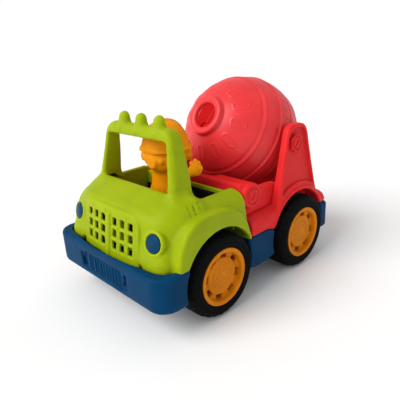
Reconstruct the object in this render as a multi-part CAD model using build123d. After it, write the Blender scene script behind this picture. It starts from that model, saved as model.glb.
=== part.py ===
from build123d import *
import math
import os

# ---------------------------------------------------------------- dimensions
# Millimetres.  +X is the truck's left side, the cab faces -Y, +Z is up.  The layout below is
# measured from the middle of the chassis; the pieces are written ORIGIN_Y further forward, so
# that the origin is on the ground in the middle of the overall length, drum included.
ORIGIN_Y = 2.7

# wheels
TYRE_R = 38.0            # outside radius of a tyre
TYRE_OUT = 81.8          # outer face of a tyre, from the middle plane
TYRE_IN = 52.4           # inner face of a tyre
RIM_SEAT_R = 24.0        # where the tyre sits on the rim
RIM_R = 26.0             # outer edge of the rim's lip
DISC_X = 77.6            # face of the rim's disc
AXLE_R = 2.5
AXLE_HALF = 73.0
AXLE_Z = 38.0
FRONT_Y = -52.0
REAR_Y = 66.0
ARCH_R = 42.3            # wheel arch
ARCH_Z = 39.8

# chassis
FRONT_END = -120.3       # front face of the front bumper
REAR_END = 120.3         # rear face of the rear bumper
BUMPER_HALF = 81.2
BUMPER_Z0, BUMPER_Z1 = 29.5, 61.0
SKIRT_HALF = 76.0
SKIRT_Z0 = 24.5
SPINE_HALF = 50.0
SPINE_Z0 = 26.0
DECK_Z = 57.0            # top of the chassis, where the cab and the mixer body stand

# cab
CAB_HALF = 76.0
WALL = 2.8
SILL_IN = 59.8           # inner edge of the door's top
CABIN_FRONT = -75.4      # front edge of the cabin's opening
TUB_HALF = 56.9
TUB_FRONT = -75.2
FLARE_X = 80.2
HOOP_TOP = 163.3
BUMP_R = 8.9
HEADLIGHT_R = 7.8
HEADLIGHT_AT = (56.46, -105.7, 81.2)

# drum
DRUM_Y, DRUM_Z = 65.7, 129.7
DRUM_R = 60.0
DRUM_TILT = 28.84        # the mouth is raised this much above level, in degrees
MOUTH_R = 13.1
COLLAR_R = 20.0
COLLAR_D = 61.4          # collar's face, from the drum's centre
DRUM_WALL = 3.0
PIN_R = 4.0
RUN = 0.06               # radial running clearance
SWEEP_R = 66.2           # nothing of the body is nearer to the drum's centre than this

# side panels
PANEL_IN, PANEL_OUT = 66.0, 76.0
ARM_TOP_IN, ARM_TOP_OUT = 62.7, 70.3   # the arms lean in towards their tops
ARM_TOP_Z = 149.5
RECESS = 2.2             # depth of the arm's recess
CAP_SEAT = 69.0          # flat seat of the pivot cap
BEAM_Y, BEAM_Z, BEAM_R = -1.4, 94.2, 12.0   # cross piece with round ends

# driver
DRV_Y = -39.2
FLOOR_Z = 62.0

os.makedirs("parts", exist_ok=True)


# ---------------------------------------------------------------- helpers
def poly_x(pts, x0, x1):
    """Prism along X of an outline given as (y, z)."""
    w = Wire.make_polygon([Vector(x0, p[0], p[1]) for p in pts], close=True)
    return extrude(Face(w), amount=x1 - x0, dir=(1, 0, 0))


def poly_y(pts, y0, y1):
    """Prism along Y of an outline given as (x, z)."""
    w = Wire.make_polygon([Vector(p[0], y0, p[1]) for p in pts], close=True)
    return extrude(Face(w), amount=y1 - y0, dir=(0, 1, 0))


def box(x0, x1, y0, y1, z0, z1):
    return Pos((x0 + x1) / 2, (y0 + y1) / 2, (z0 + z1) / 2) * Box(x1 - x0, y1 - y0, z1 - z0)


def cyl_x(r, x0, x1, y, z):
    return Pos((x0 + x1) / 2, y, z) * Rot(0, 90, 0) * Cylinder(r, abs(x1 - x0))


def cyl_z(r, x, y, z0, z1):
    return Pos(x, y, (z0 + z1) / 2) * Cylinder(r, z1 - z0)


def mirror_x(s):
    return mirror(s, about=Plane.YZ)


def plate_z(line, z0, z1):
    """Prism up Z of a closed line in the XY plane."""
    f = make_face(line)
    return extrude(Pos(0, 0, z0) * f, amount=z1 - z0)


def spline_wire(points, tangents=None):
    return Spline(*points, tangents=tangents) if tangents else Spline(*points)


def soften(s, edges, radii):
    """The largest of the given edge radii that the solid takes."""
    for r in radii:
        try:
            t = fillet(edges, r)
            if t.is_valid and t.volume > 0:
                return t
        except Exception:
            pass
    return s


def one(s):
    """The largest solid of a result."""
    v = s.solids()
    return max(v, key=lambda q: q.volume)


def keep(name, shape):
    if isinstance(shape, list):
        shape = Compound(children=[Pos(0, -ORIGIN_Y, 0) * q for q in shape])
    else:
        shape = Pos(0, -ORIGIN_Y, 0) * shape
    shape.label = name
    export_step(shape, f"parts/{name}.step")


# ---------------------------------------------------------------- chassis
def chassis():
    b = BUMPER_HALF
    line = FilletPolyline((-b, -86), (-b, FRONT_END), (b, FRONT_END), (b, -86), close=True,
                          radius=[0.5, 16.3, 16.3, 0.5])
    bumper = plate_z(line, BUMPER_Z0, BUMPER_Z1)
    bumper = soften(bumper, bumper.faces().sort_by(Axis.Z)[-1].edges(), [3.0, 2.0])
    bumper = soften(bumper, bumper.faces().sort_by(Axis.Z)[0].edges(), [2.0, 1.2])
    # recessed middle panel with slanted ends and upright ribs
    rec = poly_y([(-34, 38.0), (-28, 52.5), (28, 52.5), (34, 38.0), (28, 34.6), (-28, 34.6)],
                 FRONT_END - 1, FRONT_END + 2.2)
    bumper = bumper - rec
    for i in range(-5, 6):
        bumper = bumper + box(i * 4.6 - 1.1, i * 4.6 + 1.1, FRONT_END + 0.9, FRONT_END + 3, 37.0, 50.5)
    pocket = plate_z(FilletPolyline((-77.6, -97.6), (-77.6, -116.9), (77.6, -116.9), (77.6, -97.6),
                                    close=True, radius=[0.5, 13.0, 13.0, 0.5]), 20.0, 58.2)
    pocket = pocket - box(-52.6, 52.6, -114.2, -90, 18, 70)
    spine = box(-SPINE_HALF, SPINE_HALF, -112, 112, SPINE_Z0, DECK_Z)
    skirt = poly_x([(-12, 27), (-4, 24.5), (12, 24.5), (27, 27.5), (27, 53.2), (16, 57), (-12, 57)],
                   -SKIRT_HALF, SKIRT_HALF)
    skirt = soften(skirt, skirt.edges().filter_by(Axis.Z), [1.5])
    rear = box(-76.5, 76.5, 101, REAR_END, 25.4, 55.6)
    rear = soften(rear, rear.edges().filter_by(Axis.Z).sort_by(Axis.Y)[-2:], [6.0])
    rear = soften(rear, rear.faces().sort_by(Axis.Y)[-1].edges(), [1.5, 1.0])
    s = bumper + spine + skirt + rear
    for y in (FRONT_Y, REAR_Y):
        for x0, x1 in ((SPINE_HALF + 0.4, 90), (-90, -SPINE_HALF - 0.4)):
            s = s - cyl_x(ARCH_R, x0, x1, y, ARCH_Z)
    s = s - pocket
    # open tub between the wheels
    s = s - box(-47, 47, -109, -99, 29, 70)
    s = s - box(-47, 47, -96, 108.5, 29, 70)
    s = s - box(-73, 73, -7, 19, 28, 70)
    # rear bumper is a hollow box, open on top
    s = s - box(-72.5, 72.5, 111.5, 117.3, 29, 70)
    # axle tubes
    for y in (FRONT_Y, REAR_Y):
        s = s + cyl_x(5.0, -48, 48, y, AXLE_Z)
        s = s + box(-1.5, 1.5, y - 8, y + 8, 27, 38)
        s = s - cyl_x(AXLE_R + RUN, -60, 60, y, AXLE_Z)
    # screw posts
    for x, y in SCREWS:
        s = s + cyl_z(4.5, x, y, 27, DECK_Z)
        s = s - cyl_z(3.6, x, y, 20, 30)
        s = s - cyl_z(1.75, x, y, 20, 70)
    return one(s)


SCREWS = [(-34, -88), (34, -88), (-34, -22), (34, -22), (-34, 32), (34, 32), (-34, 98), (34, 98)]


def screws(points):
    out = []
    for x, y in points:
        s = cyl_z(3.2, x, y, 28.2, 30.0) + cyl_z(1.6, x, y, 29, 64.5)
        s = s - box(x - 2.2, x + 2.2, y - 0.4, y + 0.4, 28, 28.9) - box(x - 0.4, x + 0.4, y - 2.2, y + 2.2, 28, 28.9)
        out.append(one(s))
    return out


# ---------------------------------------------------------------- cab
def cab_block(t):
    """Outer form of the hood and the doors, inset by t."""
    pts = [(-76 + t, -66), (-75.2 + t, -80), (-69.5 + t, -94 + t * 0.3), (-56.46 + t * 0.5, -105.9 + t),
           (-44, -109.7 + t), (-22, -111.4 + t), (0, -111.8 + t),
           (22, -111.4 + t), (44, -109.7 + t), (56.46 - t * 0.5, -105.9 + t), (69.5 - t, -94 + t * 0.3),
           (75.2 - t, -80), (76 - t, -66)]
    front = Spline(*pts, tangents=[(0, -1), (0, 1)])
    back = Polyline((76 - t, -66), (76 - t, -8), (-76 + t, -8), (-76 + t, -66))
    plan = extrude(Pos(0, 0, 50) * make_face(front + back), amount=90)
    # side outline of the hood, sill and rear shoulder
    side = poly_x([(-130, 57.2), (-130, 80), (-111.0 + t, 92), (-109.5 + t, 96.5 - t * 0.4),
                   (-106 + t, 101.2 - t * 0.7), (-101 + t * 0.5, 104.6 - t), (-94, 107.4 - t), (-80, 112.2 - t),
                   (-74, 113.6 - t), (-66, 113.2 - t), (-62, 109.0 - t), (-57, 106.2 - t), (-50, 105.8 - t),
                   (-30, 105.8 - t), (-21 - t, 105.4 - t), (-17.4 - t, 103.6 - t), (-15.8 - t, 99.6), (-15.2 - t, 92),
                   (-14.4 - t, 84), (-12.0 - t, 70), (-9.2 - t, 57.2)], -90, 90)
    # cross section: round shoulders at the nose, squarer ones at the doors
    def section(y, half, top, r):
        ln = FilletPolyline((-half, 50), (-half, top), (half, top), (half, 50), close=True,
                            radius=[0.5, r, r, 0.5])
        return Plane((0, y, 0), x_dir=(1, 0, 0), z_dir=(0, -1, 0)) * make_face(ln)
    rows = [(-118, 60, 103.5, 38), (-97, 70, 108.5, 36), (-80, 75.6, 113.6, 33), (-64, 76, 113.6, 30),
            (-56, 76, 106.2, 21), (-5, 76, 106.0, 20)]
    secs = [section(y, half - t, top - t, r) for y, half, top, r in rows]
    sect = loft(secs, ruled=True)
    return plan & side & sect


def flare_line():
    return [(-100.4, 57.2), (-99.6, 66), (-97.0, 75), (-93.0, 84), (-87.5, 91), (-80.0, 95.8),
            (-70.6, 98.0), (-60, 98.2), (-49.7, 97.9), (-39.7, 96.2), (-31.2, 92.6), (-24.0, 86.5),
            (-18.4, 78), (-14.6, 68), (-11.5, 57.2)]


def cab():
    s = cab_block(0)
    # wheel flares
    f = poly_x(flare_line(), 66, FLARE_X)
    f = soften(f, f.faces().sort_by(Axis.X)[-1].edges(), [2.5, 1.8, 1.0])
    s = s + f + mirror_x(f)
    # raised grille panel
    g = poly_y([(-46, 59), (-47.2, 92), (-46, 98), (-42, 101.6), (-36, 103), (36, 103), (42, 101.6), (46, 98),
                (47.2, 92), (46, 59)], -125, -100)
    nose = poly_x([(-114.8, 59), (-113.4, 90), (-111.4, 97), (-108.6, 101.2), (-105, 103.6), (-100, 104.5), (-96, 59)],
                  -48, 48)
    s = s + (g & nose)
    s = s - cab_block(WALL)
    s = s - box(-SILL_IN, SILL_IN, CABIN_FRONT, 0, 50, 130)
    # inner skins of the doors
    s = s + (box(-SILL_IN, SILL_IN, CABIN_FRONT, -16, 60, 103.4) - box(-SILL_IN + 2.4, SILL_IN - 2.4, CABIN_FRONT - 6, 0, 50, 130))
    s = s - poly_x([(-108.6, 40), (-108.6, 90), (-100, 97), (-64, 104), (-64, 40)], -46, 46)
    # rear wall of the cabin
    s = s + box(-61, 61, -18.0, -15.2, 57.2, 99.0)
    s = s & (plan_back() )
    # flared skin is hollow behind, and the arches are open
    for sx in (1, -1):
        x0, x1 = (SPINE_HALF + 0.6, 90) if sx > 0 else (-90, -SPINE_HALF - 0.6)
        s = s - cyl_x(ARCH_R, x0, x1, FRONT_Y, ARCH_Z)
    # front apron stops on the bumper's top
    s = s - box(-90, 90, -130, -88, 40, BUMPER_Z1 + 0.15)
    # grille: six columns and three rows of windows, and an upright bar in the middle
    for cx in (11.8, 24.4, 36.2):
        for sx in (1, -1):
            for cz, h in ((92, 6.6), (80.5, 7.0), (68.5, 7.2)):
                s = s - box(sx * cx - 2.3, sx * cx + 2.3, -125, -104, cz - h / 2, cz + h / 2)
    s = s + box(-2.6, 2.6, -115.9, -111, 61.2, 99)
    # windscreen hoop
    side = poly_x([(-82.5, 104), (-80.3, 112), (-77.6, 126), (-73.6, 150), (-72.6, 158), (-71.0, 161.8), (-68.4, HOOP_TOP),
                   (-64.6, HOOP_TOP), (-62.4, 161.6), (-61.6, 158), (-61.6, 148), (-61.2, 137), (-61.2, 125),
                    (-61.4, 117), (-61.6, 110), (-61.4, 104)], -70, 70)
    front = poly_y([(-65, 104), (-60.2, 107), (-57.0, 111), (-54.8, 115), (-53.4, 120), (-49.8, 136), (-47.4, 150), (-45.4, 157),
                    (-42.2, 161.4), (-38.0, HOOP_TOP), (38.0, HOOP_TOP), (42.2, 161.4), (45.4, 157), (47.4, 150),
                    (49.8, 136), (53.4, 120), (54.8, 115), (57.0, 111), (60.2, 107), (65, 104)], -90, -45)
    hole = FilletPolyline((-46.6, 112.6), (-41.0, 152.6), (41.0, 152.6), (46.6, 112.6), close=True,
                          radius=[5, 6, 6, 5])
    hf = Plane((0, -45, 0), x_dir=(1, 0, 0), z_dir=(0, -1, 0)) * make_face(hole)
    hole = extrude(hf, amount=50)
    hoop = (side & front) - hole
    hoop = hoop - box(-43, 43, -78, -40, 90, 112.6)
    hoop = hoop - (cab_block(WALL) & box(-80, 80, -90, -40, 50, 111))
    s = s + hoop
    for bx in (-24.0, 0.6, 25.2):
        s = s + Pos(bx, -67.2, 162.1) * scale(Sphere(1.0), by=(BUMP_R - 1.4, BUMP_R - 3.0, BUMP_R))
    # blind seats for the headlights
    for sx in (1, -1):
        n = Vector(sx * 0.50, -0.866, 0.0)
        at = Vector(sx * HEADLIGHT_AT[0], HEADLIGHT_AT[1], HEADLIGHT_AT[2])
        pl = Plane(origin=at, z_dir=n)
        s = s + pl * Pos(0, 0, -4.4) * Cylinder(10.5, 4.0)
        s = s - pl * Pos(0, 0, 2.6) * Cylinder(HEADLIGHT_R + 0.12, 10.0)
    # slanted vents on the sides of the hood
    for i in range(3):
        for sx in (1, -1):
            v = Pos(sx * 70.0, -84.4 + i * 4.6, 98.4) * Rot(-24, 0, 0) * Rot(0, sx * 40, 0) * Box(3.6, 1.5, 10.5)
            s = s - v
    # screw bosses
    for x, y in SCREWS[:2]:
        s = s + (cyl_z(4.5, x, y, BUMPER_Z1 - 3.8, 98))
        s = s - cyl_z(1.75, x, y, 50, 66)
    for x, y in SCREWS[2:4]:
        s = s + (cyl_z(4.5, x, y, DECK_Z + 0.2, 70) + box(x - 4.5, x + 4.5, y, -16, DECK_Z + 0.2, 70))
        s = s - cyl_z(1.75, x, y, 50, 66)
    return one(s)


def plan_back():
    """Everything in front of the cab's rear edge."""
    return poly_x([(-130, 40), (-130, 190), (-20, 190), (-15.2, 99.6), (-15.2, 92), (-14.4, 84), (-12.0, 70),
                   (-9.2, 57.2), (-9.2, 40)], -90, 90)


def headlight(sx):
    n = Vector(sx * 0.50, -0.866, 0.0)
    at = Vector(sx * HEADLIGHT_AT[0], HEADLIGHT_AT[1], HEADLIGHT_AT[2])
    pl = Plane(origin=at, z_dir=n)
    d = pl * Pos(0, 0, -1.0) * Cylinder(HEADLIGHT_R, 2.8)
    d = soften(d, d.edges().sort_by_distance(at + n * 5)[:1], [0.8])
    return one(d)


def cabin_tub():
    """Dark inner tub: floor, front wall, rear wall and covers over the front wheels."""
    t = TUB_HALF
    s = box(-t, t, TUB_FRONT, -18.4, FLOOR_Z - 3.6, FLOOR_Z)
    s = s + box(-t, t, TUB_FRONT, TUB_FRONT + 2.4, FLOOR_Z - 3.6, 103.4) + box(-t, t, -20.8, -18.4, FLOOR_Z - 3.6, 96)
    s = s + cyl_x(46.0, SPINE_HALF - 2.0, t, FRONT_Y, ARCH_Z) + cyl_x(46.0, -t, -SPINE_HALF + 2.0, FRONT_Y, ARCH_Z)
    for x0, x1 in ((SPINE_HALF + 0.6, 90), (-90, -SPINE_HALF - 0.6)):
        s = s - cyl_x(43.4, x0, x1, FRONT_Y, ARCH_Z)
    s = s & box(-90, 90, TUB_FRONT, -18.4, FLOOR_Z - 3.6, 110)
    s = s - box(-SPINE_HALF + 2, SPINE_HALF - 2, TUB_FRONT + 2.4, -20.8, FLOOR_Z, 120)
    s = s & cab_block(WALL + 0.25)
    for x, y in SCREWS[2:4]:
        s = s - box(x - 5.0, x + 5.0, y - 5.0, -10, 50, 80)
    s = s + (cyl_z(21.0, 0, DRV_Y, FLOOR_Z - 1, FLOOR_Z + 5) - cyl_z(17.7, 0, DRV_Y, FLOOR_Z, FLOOR_Z + 8))
    s = s & box(-90, 90, TUB_FRONT, -18.4, 40, 110)
    s = s + cyl_z(6.0, 0, DRV_Y, FLOOR_Z - 1, FLOOR_Z + 8)
    # legs down to the chassis
    for x in (-20, 20):
        s = s + box(x - 3, x + 3, -60, -30, 43.4, FLOOR_Z - 1)
    return one(s)


# ---------------------------------------------------------------- driver
def driver():
    y = DRV_Y
    prof = Polyline((0, 62.2), (17.3, 62.2), (17.3, 68), (16.8, 92), (15.8, 102), (14.6, 108), (14.4, 112.5),
                    (16.6, 119.5), (19.8, 124.5), (21.4, 129.0), (21.2, 133.0), (20.4, 135.2), (23.4, 136.0), (24.4, 137.0),
                    (24.2, 138.4), (22.4, 140.2), (21.2, 144.5), (19.2, 150.0), (16.2, 155.0), (11.8, 159.2), (6.4, 161.6), (0, 162.2), close=True)
    s = revolve(Plane.XZ * make_face(prof), axis=Axis.Z)
    s = Pos(0, y, 0) * s
    # flat at the front of the brim, and the nose
    s = s & box(-40, 40, -60.6, 10, 60, 170)
    s = s + Pos(-9.6, y - 16.4, 129.6) * Sphere(3.6)
    # crest along the helmet
    s = s + (Pos(0, y, 140) * Rot(0, 90, 0) * Cylinder(23.0, 4.0) & box(-3, 3, y - 19, y + 24, 141, 170))
    # socket under the body
    s = s - cyl_z(6.4, 0, y, 50, 71)
    # raised arm and open hand
    a0, a1 = Vector(10, y, 101), Vector(33.0, y + 1.4, 116)
    pl = Plane(origin=a0, z_dir=(a1 - a0))
    arm = pl * Pos(0, 0, (a1 - a0).length / 2) * Cylinder(5.4, (a1 - a0).length)
    s = s + arm + Pos(a1.X, a1.Y, a1.Z) * Sphere(5.4)
    hand = Pos(36.2, y + 1.6, 121.0) * Rot(0, 14, 0) * Box(11.5, 6.6, 11.0)
    hand = soften(hand, hand.edges(), [2.2, 1.6])
    s = s + hand
    for i, (dx, h) in enumerate(((-4.2, 5.2), (-1.2, 7.0), (1.9, 7.2), (4.9, 5.2))):
        f = Pos(37.6 + dx, y + 1.6, 127.0 + h / 2 - 1.8) * Rot(0, 14, 0) * Cylinder(1.75, h)
        s = s + f + Pos(37.6 + dx + 0.9, y + 1.6, 127.0 + h - 1.9) * Sphere(1.75)
    # right arm along the body
    s = s + Pos(-15.2, y - 2.5, 95) * Rot(0, 6, 0) * Cylinder(4.6, 22) + Pos(-16.0, y - 4, 84) * Sphere(5.0)
    s = s & box(-60, 60, -60.6, 20, 62.2, 170)
    # the part under the sill stays inside the floor's ring
    s = s - (cyl_z(40, 0, y, 55, 68) - cyl_z(17.3, 0, y, 50, 70))
    return one(s)


# ---------------------------------------------------------------- drum
def drum_axis():
    a = math.radians(DRUM_TILT)
    return Vector(0, -math.cos(a), math.sin(a))


def drum_place(s):
    """From a drum standing with its mouth up +Z to its place in the truck."""
    return Pos(0, DRUM_Y, DRUM_Z) * Rot(90 - DRUM_TILT, 0, 0) * s


def sphere_r(d, r=DRUM_R):
    return math.sqrt(max(r * r - d * d, 0))


def drum_profile(inner=False):
    if inner:
        pts = [(0, -57.0)]
        for k in range(1, 24):
            a = math.radians(-90 + k * 7.0)
            pts.append((57.0 * math.cos(a), 57.0 * math.sin(a)))
        pts.append((MOUTH_R, 56.0))
        pts.append((MOUTH_R, 70))
        pts.append((0, 70))
        return pts
    pts = [(0, -60.0)]
    for k in range(1, 11):
        a = math.radians(-90 + k * 5.6)
        pts.append((60.0 * math.cos(a), 60.0 * math.sin(a)))
    pts += [(sphere_r(-32.6), -32.6), (51.9, -32.0), (51.9, -31.2), (sphere_r(-30.4), -30.4)]
    for d in (-27, -22, -18):
        pts.append((sphere_r(d), d))
    pts += [(sphere_r(-15.4), -15.4), (60.0, -14.4)]
    for d in (-10, -5, 0, 5, 10):
        pts.append((sphere_r(d, 60.5), d))
    pts += [(60.0, 14.4), (sphere_r(15.4), 15.4)]
    for d in (18, 22, 27):
        pts.append((sphere_r(d), d))
    pts += [(sphere_r(30.4), 30.4), (51.9, 31.2), (51.9, 32.0), (sphere_r(32.6), 32.6)]
    for d in (37, 42, 46.5, 50.5, 54, 56.3):
        pts.append((sphere_r(d), d))
    pts += [(19.9, 57.6), (19.4, 60.2), (18.2, 61.2), (16.8, 61.4), (14.8, 61.3), (13.6, 60.8), (0, 60.8)]
    return pts


def drum():
    outer = revolve(Plane.XZ * make_face(Polyline(*drum_profile(), close=True)), axis=Axis.Z)
    inner = revolve(Plane.XZ * make_face(Polyline(*drum_profile(True), close=True)), axis=Axis.Z)
    # trunnion bosses
    for sx in (1, -1):
        outer = outer + Pos(sx * 59.6, 0, 0) * Rot(0, 90, 0) * Cylinder(9.0, 4.8)
    shell = outer - inner
    for sx in (1, -1):
        shell = shell + (Pos(sx * 56.0, 0, 0) * Rot(0, 90, 0) * Cylinder(7.0, 7.0))
        shell = shell - (Pos(sx * 60.5, 0, 0) * Rot(0, 90, 0) * Cylinder(PIN_R + 0.02, 20.0))
    # raised outlines round the mouth
    for k in range(12):
        ang = k * 30.0 + 28.0
        bump = Rot(0, 0, ang) * Rot(0, 36.0, 0) * Pos(0, 0, 59.5)
        o = Box(15.5, 7.2, 1.9)
        o = soften(o, o.edges().filter_by(Axis.Z), [3.4])
        i_ = Box(13.1, 4.8, 3.0)
        i_ = soften(i_, i_.edges().filter_by(Axis.Z), [2.2])
        shell = shell + bump * (o - i_)
    half = Pos(0, 0, 50) * Box(200, 200, 100)
    front = one(shell & half)
    rear = one(shell - half)
    return drum_place(front), drum_place(rear)


def drum_pin(sx):
    s = cyl_x(PIN_R, sx * 54.0, sx * 68.4, DRUM_Y, DRUM_Z)
    return soften(s, s.edges().filter_by(GeomType.CIRCLE), [0.5])


# ---------------------------------------------------------------- mixer body
BODY_SIDE = [(-10.6, 57.2), (-13.4, 70), (-14.0, 84), (-13.6, 97), (-12.6, 104.2), (-10.0, 106.2), (-4.0, 105.6),
             (4.0, 100.5), (36, 99.0), (62, 84), (98, 78), (112.5, 74), (112.5, 57.2)]


def mixer_body():
    s = poly_x(BODY_SIDE, -65.8, 65.8)
    ball = Pos(0, DRUM_Y, DRUM_Z) * Sphere(SWEEP_R)
    s = s - ball
    # well between the side walls
    s = s - box(-61.8, 61.8, -3.0, 104, 66.5, 130)
    # hollow underneath
    low = (box(-47.5, 47.5, -9.5, 108.5, 50, 63.4) - (Pos(0, DRUM_Y, DRUM_Z) * Sphere(SWEEP_R + 3.0)))
    s = s - one(low)
    for x0, x1 in ((SPINE_HALF + 0.6, 90), (-90, -SPINE_HALF - 0.6)):
        s = s - cyl_x(ARCH_R, x0, x1, REAR_Y, ARCH_Z)
    # round-ended cross piece behind the cab, open in the middle for the drum's collar
    for sx in (1, -1):
        b = cyl_x(BEAM_R, sx * 26, sx * 71.0, BEAM_Y, BEAM_Z)
        b = soften(b, b.edges().filter_by(GeomType.CIRCLE).sort_by(Axis.X)[-1 if sx > 0 else 0], [2.0, 1.2])
        b = b - ball
        ring = cyl_x(8.6, sx * 70.2, sx * 73, BEAM_Y, BEAM_Z) - cyl_x(7.4, sx * 70.0, sx * 73, BEAM_Y, BEAM_Z)
        s = s + b - ring
        s = s + cyl_x(4.6, sx * 69, sx * 71.9, BEAM_Y, BEAM_Z) - box(sx * 72 - 0.9, sx * 72 + 0.9, BEAM_Y - 3.2, BEAM_Y + 3.2, BEAM_Z - 0.8, BEAM_Z + 0.8)
    s = s & box(-90, 90, -14.2, 130, 57.2, 160)
    s = s - box(59.4, 90, -20, -8.9, 50, 86) - box(-90, -59.4, -20, -8.9, 50, 86)
    for x, y in SCREWS[4:]:
        s = s + (cyl_z(4.5, x, y, DECK_Z + 0.2, 67) - (Pos(0, DRUM_Y, DRUM_Z) * Sphere(SWEEP_R)))
        s = s - cyl_z(1.75, x, y, 50, 65.2)
    return one(s)


ARM = [(30.6, 57.2), (33.2, 75), (38.3, 95.0), (45.8, 119.8), (51.6, 138.6), (54.0, 144.0), (58.0, 146.9), (65, 147.8),
       (73.6, 147.5), (79.4, 146.0), (83.4, 142.4), (85.3, 136.4), (87.2, 124.8), (91.2, 103.3), (94.8, 84.7),
       (97.2, 75.2), (104, 71.8), (110.5, 67.6), (115.0, 61.5), (116.6, 56.8), (100, 56.8)]


def lean(z, low, top, z0=72.0):
    """x of a leaning face at height z."""
    return low if z <= z0 else low + (top - low) * (z - z0) / (ARM_TOP_Z - z0)


def side_panel(sx):
    z1 = ARM_TOP_Z + 4
    front = [(PANEL_IN, 50), (PANEL_OUT, 50), (PANEL_OUT, 72), (lean(z1, PANEL_OUT, ARM_TOP_OUT), z1),
             (lean(z1, PANEL_IN, ARM_TOP_IN, 101.0), z1), (PANEL_IN, 101.0)]
    s = poly_x(ARM, PANEL_IN - 6, PANEL_OUT) & poly_y(front, 0, 130)
    flange = poly_y([(PANEL_IN, 57.2), (PANEL_OUT, 57.2), (PANEL_OUT, 69.5), (74.2, 72.5), (PANEL_IN, 76.5)], -8.4, 34)
    s = s + flange
    s = s + poly_x([(15.6, 57.4), (29.0, 52.8), (50, 52.8), (50, 60), (16, 60)], PANEL_IN + 1, PANEL_OUT)
    s = s - cyl_x(ARCH_R, 40, 100, REAR_Y, ARCH_Z)
    s = one(s)
    s = soften(s, s.faces().sort_by(Axis.X)[-1].edges().filter_by(lambda e: e.center().Z > 60), [1.2, 0.8])
    # recess in the outer face of the arm; the fender's crown closes it below
    rec = poly_x([(37.8, 80), (41.6, 95.5), (48.8, 119.8), (54.0, 136.6), (56.0, 141.0), (59.4, 143.2), (65, 143.9),
                  (73.4, 143.6), (78.2, 142.2), (80.6, 139.6), (81.9, 135.2), (84.0, 124), (88.0, 102.6),
                  (91.6, 84.4), (93.0, 78.6)], 50, 90)
    rec = rec & poly_y([(PANEL_OUT - RECESS, 60), (PANEL_OUT - RECESS, 72),
                        (lean(z1, PANEL_OUT, ARM_TOP_OUT) - RECESS, z1), (95, z1), (95, 60)], 0, 130)
    rec = rec - cyl_x(50.2, 40, 100, REAR_Y, ARCH_Z)
    s = s - rec
    # flat seat of the cap, and the bore for the drum's pin
    s = s - cyl_x(11.2, CAP_SEAT, 90, DRUM_Y, DRUM_Z)
    s = s - cyl_x(PIN_R + RUN, 50, 90, DRUM_Y, DRUM_Z)
    s = one(s)
    return s if sx > 0 else one(mirror_x(s))


def pivot_cap(sx):
    """Hexagonal cap with a slotted round middle, over the end of the drum's pin."""
    h = Plane((CAP_SEAT, DRUM_Y, DRUM_Z), x_dir=(0, 1, 0), z_dir=(1, 0, 0)) * RegularPolygon(9.6, 6, rotation=30)
    s = extrude(h, amount=2.8)
    s = soften(s, s.faces().sort_by(Axis.X)[-1].edges(), [0.7])
    s = s - (cyl_x(6.6, CAP_SEAT + 1.8, 75, DRUM_Y, DRUM_Z) - cyl_x(5.6, CAP_SEAT, 76, DRUM_Y, DRUM_Z))
    s = s - box(CAP_SEAT + 1.6, 75, DRUM_Y - 5.0, DRUM_Y + 5.0, DRUM_Z - 0.8, DRUM_Z + 0.8)
    s = one(s)
    return s if sx > 0 else one(mirror_x(s))


# ---------------------------------------------------------------- wheels
def tyre(y, sx):
    a, b = TYRE_IN, TYRE_OUT
    r0 = RIM_SEAT_R + 0.05
    pts = [(a + 1.0, r0), (b - 1.4, r0), (b - 1.0, 26.3), (b - 0.4, 27.2), (b, 29.6), (b - 0.3, 32.8), (b - 1.6, 35.6), (b - 4.0, 37.3),
           (b - 7.5, TYRE_R), (a + 7.5, TYRE_R), (a + 4.0, 37.3), (a + 1.6, 35.6), (a + 0.3, 32.8), (a, 28)]
    f = make_face(Polyline(*[(p[0], p[1]) for p in pts], close=True))
    s = revolve(f, axis=Axis.X)
    s = Pos(0, y, AXLE_Z) * s
    return s if sx > 0 else mirror_x(s)


def rim(y, sx):
    b = TYRE_OUT
    pts = [(54.0, 4.0), (54.0, 8.0), (70.5, 8.0), (73.5, 10.0), (73.5, 21.2), (54.0, 21.2), (54.0, RIM_SEAT_R), (b - 1.4, RIM_SEAT_R),
           (b - 1.0, RIM_R), (b - 0.2, RIM_R - 0.2), (b + 0.0, RIM_R - 0.9), (b - 0.1, 23.4), (b - 0.9, 22.2), (DISC_X, 20.6),
           (DISC_X + 0.4, 14.0), (DISC_X + 0.8, 6.0), (DISC_X + 0.9, 0), (73.6, 0), (73.6, 2.52), (54.0, 2.52)]
    f = make_face(Polyline(*pts, close=True))
    s = revolve(f, axis=Axis.X)
    for k in range(8):
        a = math.radians(k * 45 + 22.5)
        w = Rot(math.degrees(a), 0, 0) * Pos(DISC_X, 0, 18.4) * Box(12.0, 7.0, 4.8)
        w = soften(w, w.edges().filter_by(Axis.X), [1.6])
        s = s - w
    s = Pos(0, y, AXLE_Z) * one(s)
    return s if sx > 0 else mirror_x(s)


def axle(y):
    s = cyl_x(AXLE_R, -AXLE_HALF, AXLE_HALF, y, AXLE_Z)
    return soften(s, s.edges().filter_by(GeomType.CIRCLE), [0.4])


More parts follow.
